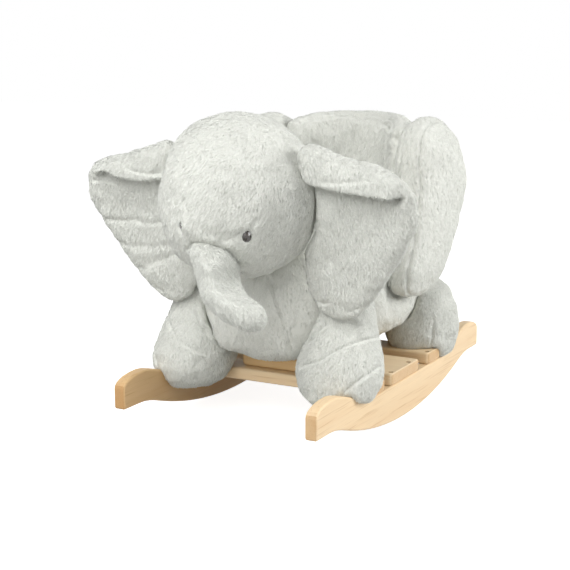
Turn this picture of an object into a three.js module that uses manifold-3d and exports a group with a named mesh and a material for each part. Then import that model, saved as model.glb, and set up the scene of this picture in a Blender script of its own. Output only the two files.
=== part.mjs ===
// Rocking elephant for a small child: a padded plush animal with a tub seat on its back,
// carried by a beech base with two curved rockers.
// Millimetres, +Z up, the animal looks along -Y, its left side is +X.
import * as THREE from 'three';
import { mergeVertices } from 'three/addons/utils/BufferGeometryUtils.js';
import Module from 'manifold-3d';

const wasm = await Module();
wasm.setup();

// Driving sizes of the base
const baseWidth = 320;
const rockerLength = 600;
const boardThickness = 18;
const boardEdge = 2;
const seatGap = 0.3;
const runRadius = 690;
const runHalf = 210;
const rockerSeatHeight = 57;
const crestHeight = 88.3;
const crestInset = 52;
const tipEndHeight = 72;
const tipUnderHeight = 42;
const tipFlatLength = 40;
const tipCorner = 4;
const railDepth = 50;
const railOffset = 106;
const railSideRoom = 2;
const boardCorner = 6;
const middleDepth = 104;
const middleOffset = -7;

// Driving sizes of the wood screws
const screwHeadRadius = 3.8;
const screwHeadHeight = 3;
const screwShankRadius = 2;
const screwPointLength = 4;
const screwTipShare = 0.3;
const screwLength = 40;
const screwSink = 2.5;
const screwEndInset = 7;
const middleScrewSpacing = 66;
const middleScrewFront = 12;
const railScrewSpacing = 26;

// Driving sizes of the inner seat frame
const boxWidth = 117;
const seatBoardTop = 208;
const seatBoardFrontHalf = 86;
const seatBoardShoulder = 10;
const seatBoardRearHalf = 66;
const seatBoardRearShoulder = 118;
const plyThickness = 12;
const plyEdge = 1;
const backBoardHalf = 58;
const backBoardRise = 190;
const neckThickness = 18;
const cleatSize = 22;
const cleatLength = 46;
const gripRadius = 11;
const gripLength = 372;
const gripRound = 3;

// Driving sizes of the stuffed animal
const headRadius = 113;
const headPlace = -225;
const headRise = 143.5;
const faceTurn = 13;
const chestHalfWidth = 106;
const chestHalfDepth = 86;
const chestHalfHeight = 110;
const chestPlace = -120;
const chestDrop = 6;
const bellyHalfWidth = 128;
const bellyHalfLength = 152;
const bellyHalfHeight = 68;
const bellyPlace = 70;
const bellyDrop = 44;
const hemRise = 20.7;
const footRadius = 64;
const frontFootSide = 118;
const frontFootPlace = -146;
const frontLegRise = 28;
const rearFootRadius = 59;
const rearFootSide = 118;
const rearFootPlace = 152;
const rearLegDrop = 24;
const legSink = 12;
const legLeanIn = 14;
const frontLegLeanBack = 50;
const rearLegLeanBack = 6;

// Driving sizes of the ears
const earReach = 261;
const earRootSide = 85;
const earRise = 70.5;
const earHang = 170.5;
const earForward = 3;
const earLean = 50;
const earThickness = 30;
const earRimThickness = 9;
const earCup = 16;
const earFold = 22;
const earSwing = 35;

// Driving sizes of the trunk
const trunkRadius = 34;
const trunkLiftAngle = 25;

// Driving sizes of the seat padding
const wingThickness = 50;
const wingOuter = 160;
const wingFront = 6;
const wingRear = 225;
const wingDrop = 39;
const wingRise = 226;
const wingBandWidth = 38;
const tubRadius = 118;
const tubPlace = 94;
const tubThickness = 45;
const tubRise = 230;
const tubEndDrop = 14;
const tubHalfAngle = 82;
const padThickness = 30;
const padFront = -84;
const padHalfWidth = 101;
const padFrontBow = 6;

// Driving sizes of the eyes
const eyeWidth = 13;
const eyeTall = 17;
const eyeDepth = 10;
const eyeStemRadius = 2.4;
const eyeStemLength = 16;
const eyeSpread = 23.7;
const eyeDrop = 18;
const eyeRoll = 3;
const washerRadius = 10;
const washerThickness = 2;
const washerDepth = 7;

// Mesh values
const mergeTolerance = 1e-4;
const overrun = 5;
const runSteps = 25;
const curveSteps = 6;
const cornerSteps = 2;
const roundSteps = 10;
const gripSteps = 14;
const trunkSteps = 12;
const trunkSlots = 100;
const washerSteps = 8;
const legSteps = 14;

// Heights and places that follow from the sizes above
const boardBottom = rockerSeatHeight + seatGap;
const boardTop = boardBottom + boardThickness;
const panelBottom = boardTop + seatGap;
const seatBoardBottom = seatBoardTop - boardThickness;
const panelTop = seatBoardBottom - seatGap;
const railSeatHalf = railOffset + railDepth / 2 + railSideRoom;
const panelFront = railOffset + boardThickness / 2;
const wingMiddle = wingOuter - wingThickness / 2;
const wingBoardInner = wingMiddle - plyThickness / 2;
const padBottom = seatBoardTop + seatGap;
const tubMiddleRadius = tubRadius - tubThickness / 2;
const backBoardFront = tubPlace + tubMiddleRadius - plyThickness;
const backBoardTop = seatBoardTop + backBoardRise;
const chestHeight = seatBoardTop - chestDrop;
const bellyHeight = seatBoardTop - bellyDrop;
const hemHeight = boardTop + hemRise;
const headHeight = chestHeight + headRise;
const earTopPlace = headPlace - earForward;
const earTop = headHeight + earRise;
const earBottom = headHeight - earHang;
const wingBottom = seatBoardTop - wingDrop;
const wingTop = seatBoardTop + wingRise;
const tubTop = seatBoardTop + tubRise;
const legBottom = rockerSeatHeight - legSink;
const degree = Math.PI / 180;
const mesh = {
  beech: new THREE.MeshStandardMaterial({ color: 0xe6c79b, roughness: 0.55, metalness: 0 }),
  plywood: new THREE.MeshStandardMaterial({ color: 0xcfae80, roughness: 0.7, metalness: 0 }),
  steel: new THREE.MeshStandardMaterial({ color: 0x8b8579, roughness: 0.4, metalness: 0.9 }),
  plush: new THREE.MeshStandardMaterial({ color: 0xd9dbd3, roughness: 0.95, metalness: 0 }),
  bead: new THREE.MeshStandardMaterial({ color: 0x2b1b12, roughness: 0.15, metalness: 0 }),
  washer: new THREE.MeshStandardMaterial({ color: 0xe9e6de, roughness: 0.5, metalness: 0 }),
};

// Solids from closed meshes, and back
function toSolid(geometry) {
  const bare = new THREE.BufferGeometry();
  bare.setAttribute('position', geometry.getAttribute('position').clone());
  if (geometry.index) bare.setIndex(geometry.index.clone());
  const merged = mergeVertices(bare, mergeTolerance);
  const corners = merged.index.array;
  const kept = [];
  for (let i = 0; i < corners.length; i += 3) {
    const [a, b, c] = [corners[i], corners[i + 1], corners[i + 2]];
    if (a !== b && b !== c && c !== a) kept.push(a, b, c);
  }
  const vertProperties = new Float32Array(merged.getAttribute('position').array);
  return new wasm.Manifold(new wasm.Mesh({ numProp: 3, vertProperties, triVerts: new Uint32Array(kept) }));
}

function toGeometry(solid) {
  const data = solid.getMesh();
  const geometry = new THREE.BufferGeometry();
  geometry.setAttribute('position', new THREE.BufferAttribute(new Float32Array(data.vertProperties), 3));
  geometry.setIndex(new THREE.BufferAttribute(new Uint32Array(data.triVerts), 1));
  return geometry;
}

function cut(solid, tools) {
  return tools.reduce((left, tool) => left.subtract(tool), solid);
}

// The other side's copy of a solid, with its triangles turned round so that they still face out
function mirrored(solid) {
  const geometry = toGeometry(solid);
  geometry.scale(-1, 1, 1);
  const order = geometry.index.array;
  for (let i = 0; i < order.length; i += 3) {
    [order[i + 1], order[i + 2]] = [order[i + 2], order[i + 1]];
  }
  return toSolid(geometry);
}

function turned(solid, point, axis, degrees) {
  const geometry = toGeometry(solid);
  geometry.translate(-point.x, -point.y, -point.z);
  geometry.applyMatrix4(new THREE.Matrix4().makeRotationAxis(axis, degrees * degree));
  geometry.translate(point.x, point.y, point.z);
  return toSolid(geometry);
}

// Boards: an outline with eased edges, in one of the three planes
function plank(outline, thickness, edge, grow, steps) {
  const geometry = new THREE.ExtrudeGeometry(outline, {
    depth: thickness + 2 * grow - 2 * edge,
    bevelThickness: edge,
    bevelSize: edge,
    bevelOffset: grow - edge,
    bevelSegments: 1,
    curveSegments: steps,
  });
  geometry.translate(0, 0, edge - grow);
  return geometry;
}

function flatBoard(outline, thickness, edge, bottom, grow = 0) {
  return toSolid(plank(outline, thickness, edge, grow, cornerSteps).translate(0, 0, bottom));
}

function sideBoard(outline, thickness, edge, innerX, grow = 0, steps = cornerSteps) {
  const axes = new THREE.Matrix4().makeBasis(
    new THREE.Vector3(0, 1, 0), new THREE.Vector3(0, 0, 1), new THREE.Vector3(1, 0, 0));
  return toSolid(plank(outline, thickness, edge, grow, steps).applyMatrix4(axes).translate(innerX, 0, 0));
}

function crossBoard(outline, thickness, edge, rearY, grow = 0) {
  const axes = new THREE.Matrix4().makeBasis(
    new THREE.Vector3(1, 0, 0), new THREE.Vector3(0, 0, 1), new THREE.Vector3(0, -1, 0));
  return toSolid(plank(outline, thickness, edge, grow, cornerSteps).applyMatrix4(axes).translate(0, rearY, 0));
}

function roundedRectangle(lowU, highU, lowV, highV, corner) {
  const shape = new THREE.Shape();
  shape.absarc(highU - corner, lowV + corner, corner, -Math.PI / 2, 0);
  shape.absarc(highU - corner, highV - corner, corner, 0, Math.PI / 2);
  shape.absarc(lowU + corner, highV - corner, corner, Math.PI / 2, Math.PI);
  shape.absarc(lowU + corner, lowV + corner, corner, Math.PI, Math.PI * 1.5);
  shape.closePath();
  return shape;
}

function block(low, high, grow = 0) {
  const size = high.clone().sub(low).addScalar(2 * grow);
  const middle = low.clone().add(high).multiplyScalar(0.5);
  return toSolid(new THREE.BoxGeometry(size.x, size.y, size.z).translate(middle.x, middle.y, middle.z));
}

// Soft forms: closed surfaces of rings between two poles
function ringForm(rows, firstPole, lastPole) {
  const count = rows[0].length;
  const points = [firstPole, ...rows.flat(), lastPole];
  const last = points.length - 1;
  const index = [];
  for (let j = 0; j < count; j += 1) {
    const next = (j + 1) % count;
    index.push(0, 1 + j, 1 + next);
    for (let i = 0; i < rows.length - 1; i += 1) {
      const near = 1 + i * count;
      const far = near + count;
      index.push(near + j, far + j, near + next, near + next, far + j, far + next);
    }
    const end = 1 + (rows.length - 1) * count;
    index.push(last, end + next, end + j);
  }
  let volume = 0;
  for (let i = 0; i < index.length; i += 3) {
    const [a, b, c] = [points[index[i]], points[index[i + 1]], points[index[i + 2]]];
    volume += a.dot(b.clone().cross(c));
  }
  if (volume < 0) index.reverse();
  const geometry = new THREE.BufferGeometry();
  geometry.setFromPoints(points);
  geometry.setIndex(index);
  return toSolid(geometry);
}

// A plump closed form: |x/a|^n + |y/b|^n + |z/c|^n = 1 about a centre, wider below where it tapers
function plumpForm(form, grow = 0) {
  const geometry = new THREE.SphereGeometry(1, form.around, form.along).rotateX(Math.PI / 2);
  const place = geometry.getAttribute('position');
  for (let i = 0; i < place.count; i += 1) {
    const point = new THREE.Vector3().fromBufferAttribute(place, i);
    const power = form.squareness;
    const total = Math.abs(point.x) ** power + Math.abs(point.y) ** power + Math.abs(point.z) ** power;
    point.multiplyScalar(total ** (-1 / power));
    const swell = 1 - form.taperShare * point.z;
    place.setXYZ(
      i,
      form.centre.x + point.x * swell * (form.half.x + grow),
      form.centre.y + point.y * swell * (form.half.y + grow),
      form.centre.z + point.z * (form.half.z + grow),
    );
  }
  return toSolid(geometry);
}

// A panel with a filled body: rings run from the front pole out to the rim and back to the rear pole
function panelForm(outline, centre, ringShares, thickness, place) {
  const rows = ringShares.map(([reachShare, depthShare]) => outline.map((point) => {
    const spot = centre.clone().lerp(point, reachShare);
    return place(spot, depthShare * thickness / 2, reachShare);
  }));
  const first = place(centre, thickness / 2, 0);
  const last = place(centre, -thickness / 2, 0);
  return ringForm(rows, first, last);
}

function smoothOutline(points, count) {
  const curve = new THREE.CatmullRomCurve3(points.map(([u, v]) => new THREE.Vector3(u, v, 0)), true, 'centripetal');
  const spaced = curve.getSpacedPoints(count);
  spaced.pop();
  return spaced.map((point) => new THREE.Vector2(point.x, point.y));
}

// Rocker: running arc below, a flat seat for the boards above, upturned tips at both ends
function rockerOutline() {
  const half = rockerLength / 2;
  const halfAngle = Math.asin(runHalf / runRadius);
  const stepAngle = 2 * halfAngle / runSteps;
  const cornerRadius = runRadius / Math.cos(stepAngle / 2);
  const shape = new THREE.Shape();
  for (let i = 0; i <= runSteps; i += 1) {
    const angle = -halfAngle + i * stepAngle;
    const point = [cornerRadius * Math.sin(angle), runRadius - cornerRadius * Math.cos(angle)];
    if (i === 0) shape.moveTo(...point);
    else shape.lineTo(...point);
  }
  const runEnd = cornerRadius * Math.sin(halfAngle);
  const runRise = runRadius - cornerRadius * Math.cos(halfAngle);
  const easeShare = 0.35;
  const flatStart = half - tipFlatLength;
  const ease = (flatStart - runEnd) * easeShare;
  const crestPlace = half - crestInset;
  const riseShares = [0.36, 0.35];
  const crestShare = 0.17;
  const shoulderShares = [0.55, 0.7];
  const riseLength = crestPlace - railSeatHalf;
  const rise = crestHeight - rockerSeatHeight;
  for (const side of [1, -1]) {
    const under = [
      [runEnd + ease, runRise + ease * Math.tan(halfAngle)],
      [flatStart - ease, tipUnderHeight],
      [flatStart, tipUnderHeight],
    ];
    const shoulder = [
      [half, tipEndHeight + (crestHeight - tipEndHeight) * shoulderShares[0]],
      [crestPlace + crestInset * shoulderShares[1], crestHeight],
      [crestPlace, crestHeight],
    ];
    const hollow = [
      [crestPlace - riseLength * crestShare, crestHeight],
      [railSeatHalf + riseLength * riseShares[0], rockerSeatHeight + rise * riseShares[1]],
      [railSeatHalf, rockerSeatHeight],
    ];
    if (side === 1) {
      shape.bezierCurveTo(...under.flat());
      shape.lineTo(half - tipCorner, tipUnderHeight);
      shape.quadraticCurveTo(half, tipUnderHeight, half, tipUnderHeight + tipCorner);
      shape.lineTo(half, tipEndHeight);
      shape.bezierCurveTo(...shoulder.flat());
      shape.bezierCurveTo(...hollow.flat());
    } else {
      shape.lineTo(-railSeatHalf, rockerSeatHeight);
      shape.bezierCurveTo(-hollow[1][0], hollow[1][1], -hollow[0][0], hollow[0][1], -crestPlace, crestHeight);
      shape.bezierCurveTo(-shoulder[1][0], shoulder[1][1], -half, shoulder[0][1], -half, tipEndHeight);
      shape.lineTo(-half, tipUnderHeight + tipCorner);
      shape.quadraticCurveTo(-half, tipUnderHeight, -half + tipCorner, tipUnderHeight);
      shape.lineTo(-flatStart, tipUnderHeight);
      shape.bezierCurveTo(-under[1][0], under[1][1], -under[0][0], under[0][1], -runEnd, runRise);
    }
  }
  return shape;
}

const rockerShape = rockerOutline();
const rockerInner = baseWidth / 2 - boardThickness;

// Screws: a countersunk head sunk a little below the board, a shank into the rocker
function screwProfile(grow) {
  const top = boardTop - screwSink;
  const head = screwHeadRadius + grow;
  const shank = screwShankRadius + grow;
  const neck = top - screwHeadHeight - grow;
  const end = top - screwLength - grow;
  const cap = grow > 0 ? boardTop + overrun : top;
  return [
    [0, end], [shank * screwTipShare, end], [shank, end + screwPointLength], [shank, neck],
    [head, top - grow], [head, cap], [0, cap],
  ].map(([radius, height]) => new THREE.Vector2(radius, height));
}

function screwAt(x, y, grow = 0) {
  return toSolid(new THREE.LatheGeometry(screwProfile(grow), roundSteps).rotateX(Math.PI / 2).translate(x, y, 0));
}

const screwSide = baseWidth / 2 - screwEndInset;
const middleScrewStart = middleOffset - middleDepth / 2 + middleScrewFront;
const screwRows = [
  ['front', -railOffset - railScrewSpacing / 2],
  ['front', -railOffset + railScrewSpacing / 2],
  ['middle', middleScrewStart],
  ['middle', middleScrewStart + middleScrewSpacing],
  ['rear', railOffset - railScrewSpacing / 2],
  ['rear', railOffset + railScrewSpacing / 2],
];
const screwPlaces = screwRows.flatMap(([board, y], row) => [
  { name: `${board}_screw_left_${row % 2 + 1}`, board, x: screwSide, y },
  { name: `${board}_screw_right_${row % 2 + 1}`, board, x: -screwSide, y },
]);

function screwHoles(test) {
  return screwPlaces.filter(test).map(({ x, y }) => screwAt(x, y, seatGap));
}

function rockerBoard(grow = 0) {
  return sideBoard(rockerShape, boardThickness, boardEdge, rockerInner, grow, curveSteps);
}
const rockerLeft = cut(rockerBoard(), screwHoles(({ x }) => x > 0));
const rockerRight = mirrored(rockerLeft);

function baseBoard(name, middleY, depth) {
  const outline = roundedRectangle(
    -baseWidth / 2, baseWidth / 2, middleY - depth / 2, middleY + depth / 2, boardCorner);
  const board = flatBoard(outline, boardThickness, boardEdge, boardBottom);
  return cut(board, screwHoles((screw) => screw.board === name));
}

// Inner frame: a box on the rails, the seat board over it, and the boards that stand on that
const panelOutline = roundedRectangle(-boxWidth / 2, boxWidth / 2, panelBottom, panelTop, boardCorner);
const frontPanel = crossBoard(panelOutline, boardThickness, boardEdge, boardThickness - panelFront);
const rearPanel = crossBoard(panelOutline, boardThickness, boardEdge, panelFront);
const sideLength = panelFront - boardThickness - seatGap;
const sideOutline = roundedRectangle(-sideLength, sideLength, panelBottom, panelTop, boardEdge);
const boxSideLeft = sideBoard(sideOutline, boardThickness, plyEdge, boxWidth / 2 - boardThickness);
const boxSideRight = mirrored(boxSideLeft);

const seatBoardRear = backBoardFront - seatGap;
const seatBoardHalf = wingBoardInner - seatGap;
function seatBoardOutline() {
  const front = -(panelFront - boardThickness);
  const shape = new THREE.Shape();
  const slopeEnd = seatBoardShoulder + seatBoardHalf - seatBoardFrontHalf;
  shape.moveTo(-seatBoardFrontHalf, front);
  shape.lineTo(seatBoardFrontHalf, front);
  shape.lineTo(seatBoardFrontHalf, seatBoardShoulder);
  shape.lineTo(seatBoardHalf, slopeEnd);
  shape.lineTo(seatBoardHalf, seatBoardRearShoulder);
  shape.lineTo(seatBoardRearHalf, seatBoardRear);
  shape.lineTo(-seatBoardRearHalf, seatBoardRear);
  shape.lineTo(-seatBoardHalf, seatBoardRearShoulder);
  shape.lineTo(-seatBoardHalf, slopeEnd);
  shape.lineTo(-seatBoardFrontHalf, seatBoardShoulder);
  shape.closePath();
  return shape;
}
const seatBoardShape = seatBoardOutline();
const seatBoard = flatBoard(seatBoardShape, boardThickness, boardEdge, seatBoardBottom);

const backBoardShape = roundedRectangle(-backBoardHalf, backBoardHalf, seatBoardBottom, backBoardTop, boardCorner);
const backBoard = crossBoard(backBoardShape, plyThickness, plyEdge, backBoardFront + plyThickness);

// Neck board: stands on the seat board and leans forward into the head
const neckFootShare = 0.81;
const neckFootRear = chestPlace + neckFootShare * chestHalfDepth;
const neckRise = headHeight - padBottom;
const neckReach = neckFootRear - headPlace;
const neckBoardShares = [
  [0.4, 0], [0.4, 0.26], [0.75, 0.66], [1.22, 1.0], [1.27, 1.3], [0.49, 1.3], [0.47, 0.78],
  [0.31, 0.6], [0.17, 0.34], [0, 0],
];
const neckShape = new THREE.Shape(neckBoardShares.map(([forward, up]) => new THREE.Vector2(
  neckFootRear - forward * neckReach, padBottom + up * neckRise)));
const gripShares = [0.57, 1];
const gripPlace = neckFootRear - gripShares[0] * neckReach;
const gripHeight = padBottom + gripShares[1] * neckRise;
const gripHole = gripBar(seatGap);
const neckBoardWhole = sideBoard(neckShape, neckThickness, boardEdge, -neckThickness / 2);
const neckBoard = cut(neckBoardWhole, [gripHole]);

function gripBar(grow = 0) {
  const radius = gripRadius + grow;
  const half = gripLength / 2 + grow;
  const profile = [
    [0, -half], [radius - gripRound, -half], [radius, gripRound - half],
    [radius, half - gripRound], [radius - gripRound, half], [0, half],
  ].map(([r, along]) => new THREE.Vector2(r, along));
  const bar = new THREE.LatheGeometry(profile, gripSteps).rotateZ(-Math.PI / 2);
  return toSolid(bar.translate(0, gripPlace, gripHeight));
}

const cleatRear = neckFootRear - boardEdge;
function cleatLow(side) {
  const x = side > 0 ? neckThickness / 2 + seatGap : -neckThickness / 2 - seatGap - cleatSize;
  return new THREE.Vector3(x, cleatRear - cleatLength, padBottom);
}
const cleatSpan = new THREE.Vector3(cleatSize, cleatLength, cleatSize);
const cleats = [1, -1].map((side) => [cleatLow(side), cleatLow(side).add(cleatSpan)]);

// Soft forms of the animal
const headForm = {
  centre: new THREE.Vector3(0, headPlace, headHeight),
  half: new THREE.Vector3(headRadius, headRadius, headRadius),
  squareness: 2.08, taperShare: 0.03, around: 24, along: 14,
};
const chestForm = {
  centre: new THREE.Vector3(0, chestPlace, chestHeight),
  half: new THREE.Vector3(chestHalfWidth, chestHalfDepth, chestHalfHeight),
  squareness: 2.25, taperShare: 0.08, around: 20, along: 12,
};
const bellyForm = {
  centre: new THREE.Vector3(0, bellyPlace, bellyHeight),
  half: new THREE.Vector3(bellyHalfWidth, bellyHalfLength, bellyHalfHeight),
  squareness: 3.2, taperShare: 0, around: 24, along: 10,
};

// A leg is turned about a leaning line: a round foot, a narrower shank and a closed top
function legForm(leg, grow = 0) {
  const height = leg.top - leg.bottom;
  const profile = leg.shares.map(([radiusShare, heightShare]) => {
    const outward = radiusShare === 0 ? 0 : grow;
    const ends = (2 * heightShare - 1) * grow;
    return new THREE.Vector2(radiusShare * leg.radius + outward, leg.bottom + heightShare * height + ends);
  });
  const geometry = new THREE.LatheGeometry(profile, legSteps).rotateX(Math.PI / 2);
  const spots = geometry.getAttribute('position');
  for (let i = 0; i < spots.count; i += 1) {
    const rise = (spots.getZ(i) - leg.bottom) / height - leg.footShare;
    const x = spots.getX(i) + leg.side - legLeanIn * rise;
    const y = spots.getY(i) + leg.place + leg.leanBack * rise;
    spots.setXY(i, x, y);
  }
  return toSolid(geometry);
}
const frontLeg = {
  side: frontFootSide, place: frontFootPlace, radius: footRadius, leanBack: frontLegLeanBack,
  bottom: legBottom, top: seatBoardTop + frontLegRise, footShare: 0.31,
  shares: [
    [0, 0], [0.48, 0.02], [0.82, 0.1], [0.97, 0.2], [1, 0.31], [0.95, 0.42],
    [0.83, 0.53], [0.75, 0.65], [0.71, 0.78], [0.62, 0.9], [0.36, 0.98], [0, 1],
  ],
};
const rearLeg = {
  side: rearFootSide, place: rearFootPlace, radius: rearFootRadius, leanBack: rearLegLeanBack,
  bottom: legBottom, top: seatBoardTop - rearLegDrop, footShare: 0.42,
  shares: [
    [0, 0], [0.5, 0.02], [0.84, 0.13], [0.98, 0.28], [1, 0.42], [0.98, 0.57],
    [0.91, 0.72], [0.76, 0.86], [0.46, 0.97], [0, 1],
  ],
};

// Wings: padded side panels of the seat
const wingShares = [
  [0.27, 0.97], [0.21, 0.8], [0.19, 0.58], [0.14, 0.35], [0.04, 0.16], [0.01, 0.05], [0.15, 0],
  [0.38, 0], [0.54, 0.06], [0.73, 0.22], [0.91, 0.36], [1, 0.52], [0.99, 0.71], [0.87, 0.87],
  [0.66, 0.97], [0.45, 1],
];
const wingSpots = wingShares.map(([along, up]) => [
  wingFront + along * (wingRear - wingFront), wingBottom + up * (wingTop - wingBottom)]);
const wingCentreShares = [0.55, 0.5];
const wingCentre = new THREE.Vector2(
  wingFront + wingCentreShares[0] * (wingRear - wingFront),
  wingBottom + wingCentreShares[1] * (wingTop - wingBottom));
const wingOutlinePoints = 24;
const wingOutline = smoothOutline(wingSpots, wingOutlinePoints);
const wingRimShare = wingBandWidth / wingThickness;
const wingRingShares = [
  [0.5, 0.98], [0.82, 0.92], [0.96, (1 + wingRimShare) / 2], [1, wingRimShare],
  [1, -wingRimShare], [0.96, -(1 + wingRimShare) / 2], [0.82, -0.92], [0.5, -0.98],
];
function wing(grow = 0) {
  const rings = wingRingShares.map(([reach, depth]) => [reach * (1 + 2 * grow / (wingRear - wingFront)), depth]);
  return panelForm(wingOutline, wingCentre, rings, wingThickness + 2 * grow,
    (spot, depth) => new THREE.Vector3(wingMiddle + depth, spot.x, spot.y));
}
const wingBoardShare = 0.86;
const wingBoardSpots = wingOutline.map((point) => wingCentre.clone().lerp(point, wingBoardShare));
const wingBoardShape = new THREE.Shape(wingBoardSpots);
const wingBoardLeft = sideBoard(wingBoardShape, plyThickness, plyEdge, wingBoardInner);

// Backrest: a padded tub wall round the rear half of the seat
const tubSteps = 10;
const tubEndShare = 0.72;
const tubSectionShares = [
  [0, 1], [0.72, 0.975], [1, 0.88], [1.04, 0.5], [1.02, 0], [1.04, -0.5], [1, -0.9], [0.7, -0.99],
  [0, -1], [-0.7, -0.99], [-0.96, -0.9], [-0.98, -0.5], [-0.96, 0], [-0.98, 0.5], [-0.94, 0.88],
  [-0.68, 0.975],
];
function tub(grow = 0) {
  const rows = [];
  const bottom = padBottom - grow;
  for (let i = 0; i <= tubSteps; i += 1) {
    const share = 2 * i / tubSteps - 1;
    const angle = share * tubHalfAngle * degree;
    const endShare = Math.abs(share) === 1 ? tubEndShare : 1;
    const top = tubTop + grow - tubEndDrop * share * share;
    const middle = (top + bottom) / 2;
    const tall = (top - bottom) / 2;
    rows.push(tubSectionShares.map(([out, up]) => {
      const radius = tubMiddleRadius + out * endShare * (tubThickness / 2 + grow);
      return new THREE.Vector3(
        radius * Math.sin(angle), tubPlace + radius * Math.cos(angle), middle + up * tall);
    }));
  }
  const pole = (row, away) => row
    .reduce((sum, point) => sum.add(point), new THREE.Vector3())
    .divideScalar(row.length)
    .add(new THREE.Vector3(0, -away, 0));
  const endBulge = tubThickness / 8;
  return ringForm(rows, pole(rows[0], endBulge), pole(rows[tubSteps], endBulge));
}

// Seat pad: crowned, straight in front, round behind where the tub wall holds it
const padRearRadius = tubRadius - tubThickness - seatGap;
const padFrontShare = 0.9;
const padSideShares = [[1, -0.3], [0.98, 0.33], [0.8, 0.85]];
const padRearShares = [0.3, 0.65, 1, 1.35, 1.7];
const padOutlinePoints = 32;
function padOutlineSpots() {
  const sideSpots = padSideShares.map(([wide, along]) => [wide * padHalfWidth, along * tubPlace]);
  const rearSpots = padRearShares.map((share) => {
    const angle = share * Math.PI / 2;
    return [padRearRadius * Math.cos(angle), tubPlace + padRearRadius * Math.sin(angle)];
  });
  const otherSpots = sideSpots.map(([x, y]) => [-x, y]).reverse();
  const corner = padFrontShare * padHalfWidth;
  return [[-corner, padFront], [0, padFront - padFrontBow], [corner, padFront], ...sideSpots, ...rearSpots, ...otherSpots];
}
const padRingShares = [[0.45, 0.97], [0.75, 0.86], [0.93, 0.62], [1, 0.1], [0.98, -0.8], [0.9, -1], [0.5, -1]];
function seatPad() {
  const outline = smoothOutline(padOutlineSpots(), padOutlinePoints);
  const centre = new THREE.Vector2(0, tubPlace / 2);
  const middle = padBottom + padThickness / 2;
  return panelForm(outline, centre, padRingShares, padThickness,
    (spot, depth) => new THREE.Vector3(spot.x, spot.y, middle + depth));
}

// Ears: filled flaps, cupped forward, with the top edge folded towards the front
const earShares = [
  [0.12, 1], [0.31, 0.965], [0.53, 0.93], [0.74, 0.895], [0.91, 0.84], [0.995, 0.73], [0.975, 0.6],
  [0.89, 0.475], [0.75, 0.31], [0.56, 0.13], [0.34, 0.01], [0.16, 0.025], [0.04, 0.14], [0, 0.28],
  [0.03, 0.47], [0.06, 0.72], [0.06, 0.92],
];
const earOutlinePoints = 28;
const earWidth = earReach - earRootSide;
const earHeight = earTop - earBottom;
const earSpots = earShares.map(([out, up]) => [earRootSide + out * earWidth, earBottom + up * earHeight]);
const earCentreShares = [0.45, 0.52];
const earCentre = new THREE.Vector2(
  earRootSide + earCentreShares[0] * earWidth, earBottom + earCentreShares[1] * earHeight);
const earRimShare = earRimThickness / earThickness;
const earFoldStartShare = 0.8;
const earRingShares = [
  [0.4, 0.96], [0.7, 0.82], [0.9, 0.55], [1, earRimShare], [1, -earRimShare], [0.9, -0.55],
  [0.7, -0.82], [0.4, -0.96],
];
function earWhole() {
  const outline = smoothOutline(earSpots, earOutlinePoints);
  return panelForm(outline, earCentre, earRingShares, earThickness, (spot, depth, reach) => {
    const up = (spot.y - earBottom) / earHeight;
    const fold = Math.max(0, (up - earFoldStartShare) / (1 - earFoldStartShare));
    const y = earTopPlace + earLean * (1 - up) + earCup * (1 - reach * reach) - earFold * fold * fold;
    return new THREE.Vector3(spot.x, y - depth, spot.y);
  });
}
const earHingeHigh = new THREE.Vector3(earRootSide + earThickness / 2, earTopPlace - earFold, earTop);
const earHingeLow = new THREE.Vector3(
  earRootSide, earTopPlace + earLean / 3, earBottom + earHeight / 3);
const earAxisUp = earHingeHigh.clone().sub(earHingeLow).normalize();

// Trunk: a tapering tube that hangs from the face and curls to the animal's left
const facing = new THREE.Vector3(Math.sin(faceTurn * degree), -Math.cos(faceTurn * degree), 0);
const faceSide = new THREE.Vector3(Math.cos(faceTurn * degree), Math.sin(faceTurn * degree), 0);
const upward = new THREE.Vector3(0, 0, 1);
const headCentre = headForm.centre;
function facePoint(side, forward, up) {
  return headCentre.clone()
    .addScaledVector(faceSide, side)
    .addScaledVector(facing, forward)
    .addScaledVector(upward, up);
}
const trunkPathShares = [
  [0, 0.6, -0.26], [0, 0.91, -0.48], [0.06, 1.06, -0.62], [0.11, 1.12, -0.79], [0.19, 1.16, -0.98],
  [0.33, 1.19, -1.12], [0.51, 1.21, -1.2], [0.72, 1.19, -1.23],
];
const trunkRadiusShares = [
  [0, 0.8], [0.12, 0.96], [0.24, 1], [0.36, 0.94], [0.48, 0.86], [0.6, 0.79], [0.74, 0.69],
  [0.87, 0.6], [0.96, 0.42],
];
function trunkWhole(grow = 0) {
  const path = new THREE.CatmullRomCurve3(
    trunkPathShares.map(([side, forward, up]) => facePoint(
      side * headRadius, forward * headRadius, up * headRadius)));
  const frames = path.computeFrenetFrames(trunkSlots, false);
  const rows = trunkRadiusShares.map(([along, wide]) => {
    const centre = path.getPointAt(along);
    const slot = Math.round(along * trunkSlots);
    const ring = [];
    for (let i = 0; i < trunkSteps; i += 1) {
      const angle = i * 2 * Math.PI / trunkSteps;
      ring.push(centre.clone()
        .addScaledVector(frames.normals[slot], Math.cos(angle) * (wide * trunkRadius + grow))
        .addScaledVector(frames.binormals[slot], Math.sin(angle) * (wide * trunkRadius + grow)));
    }
    return ring;
  });
  return ringForm(rows, path.getPointAt(0), path.getPointAt(1));
}
const trunkHinge = facePoint(0, headRadius, -trunkRadius / 2);
const trunkAxis = faceSide.clone().negate();

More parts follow.
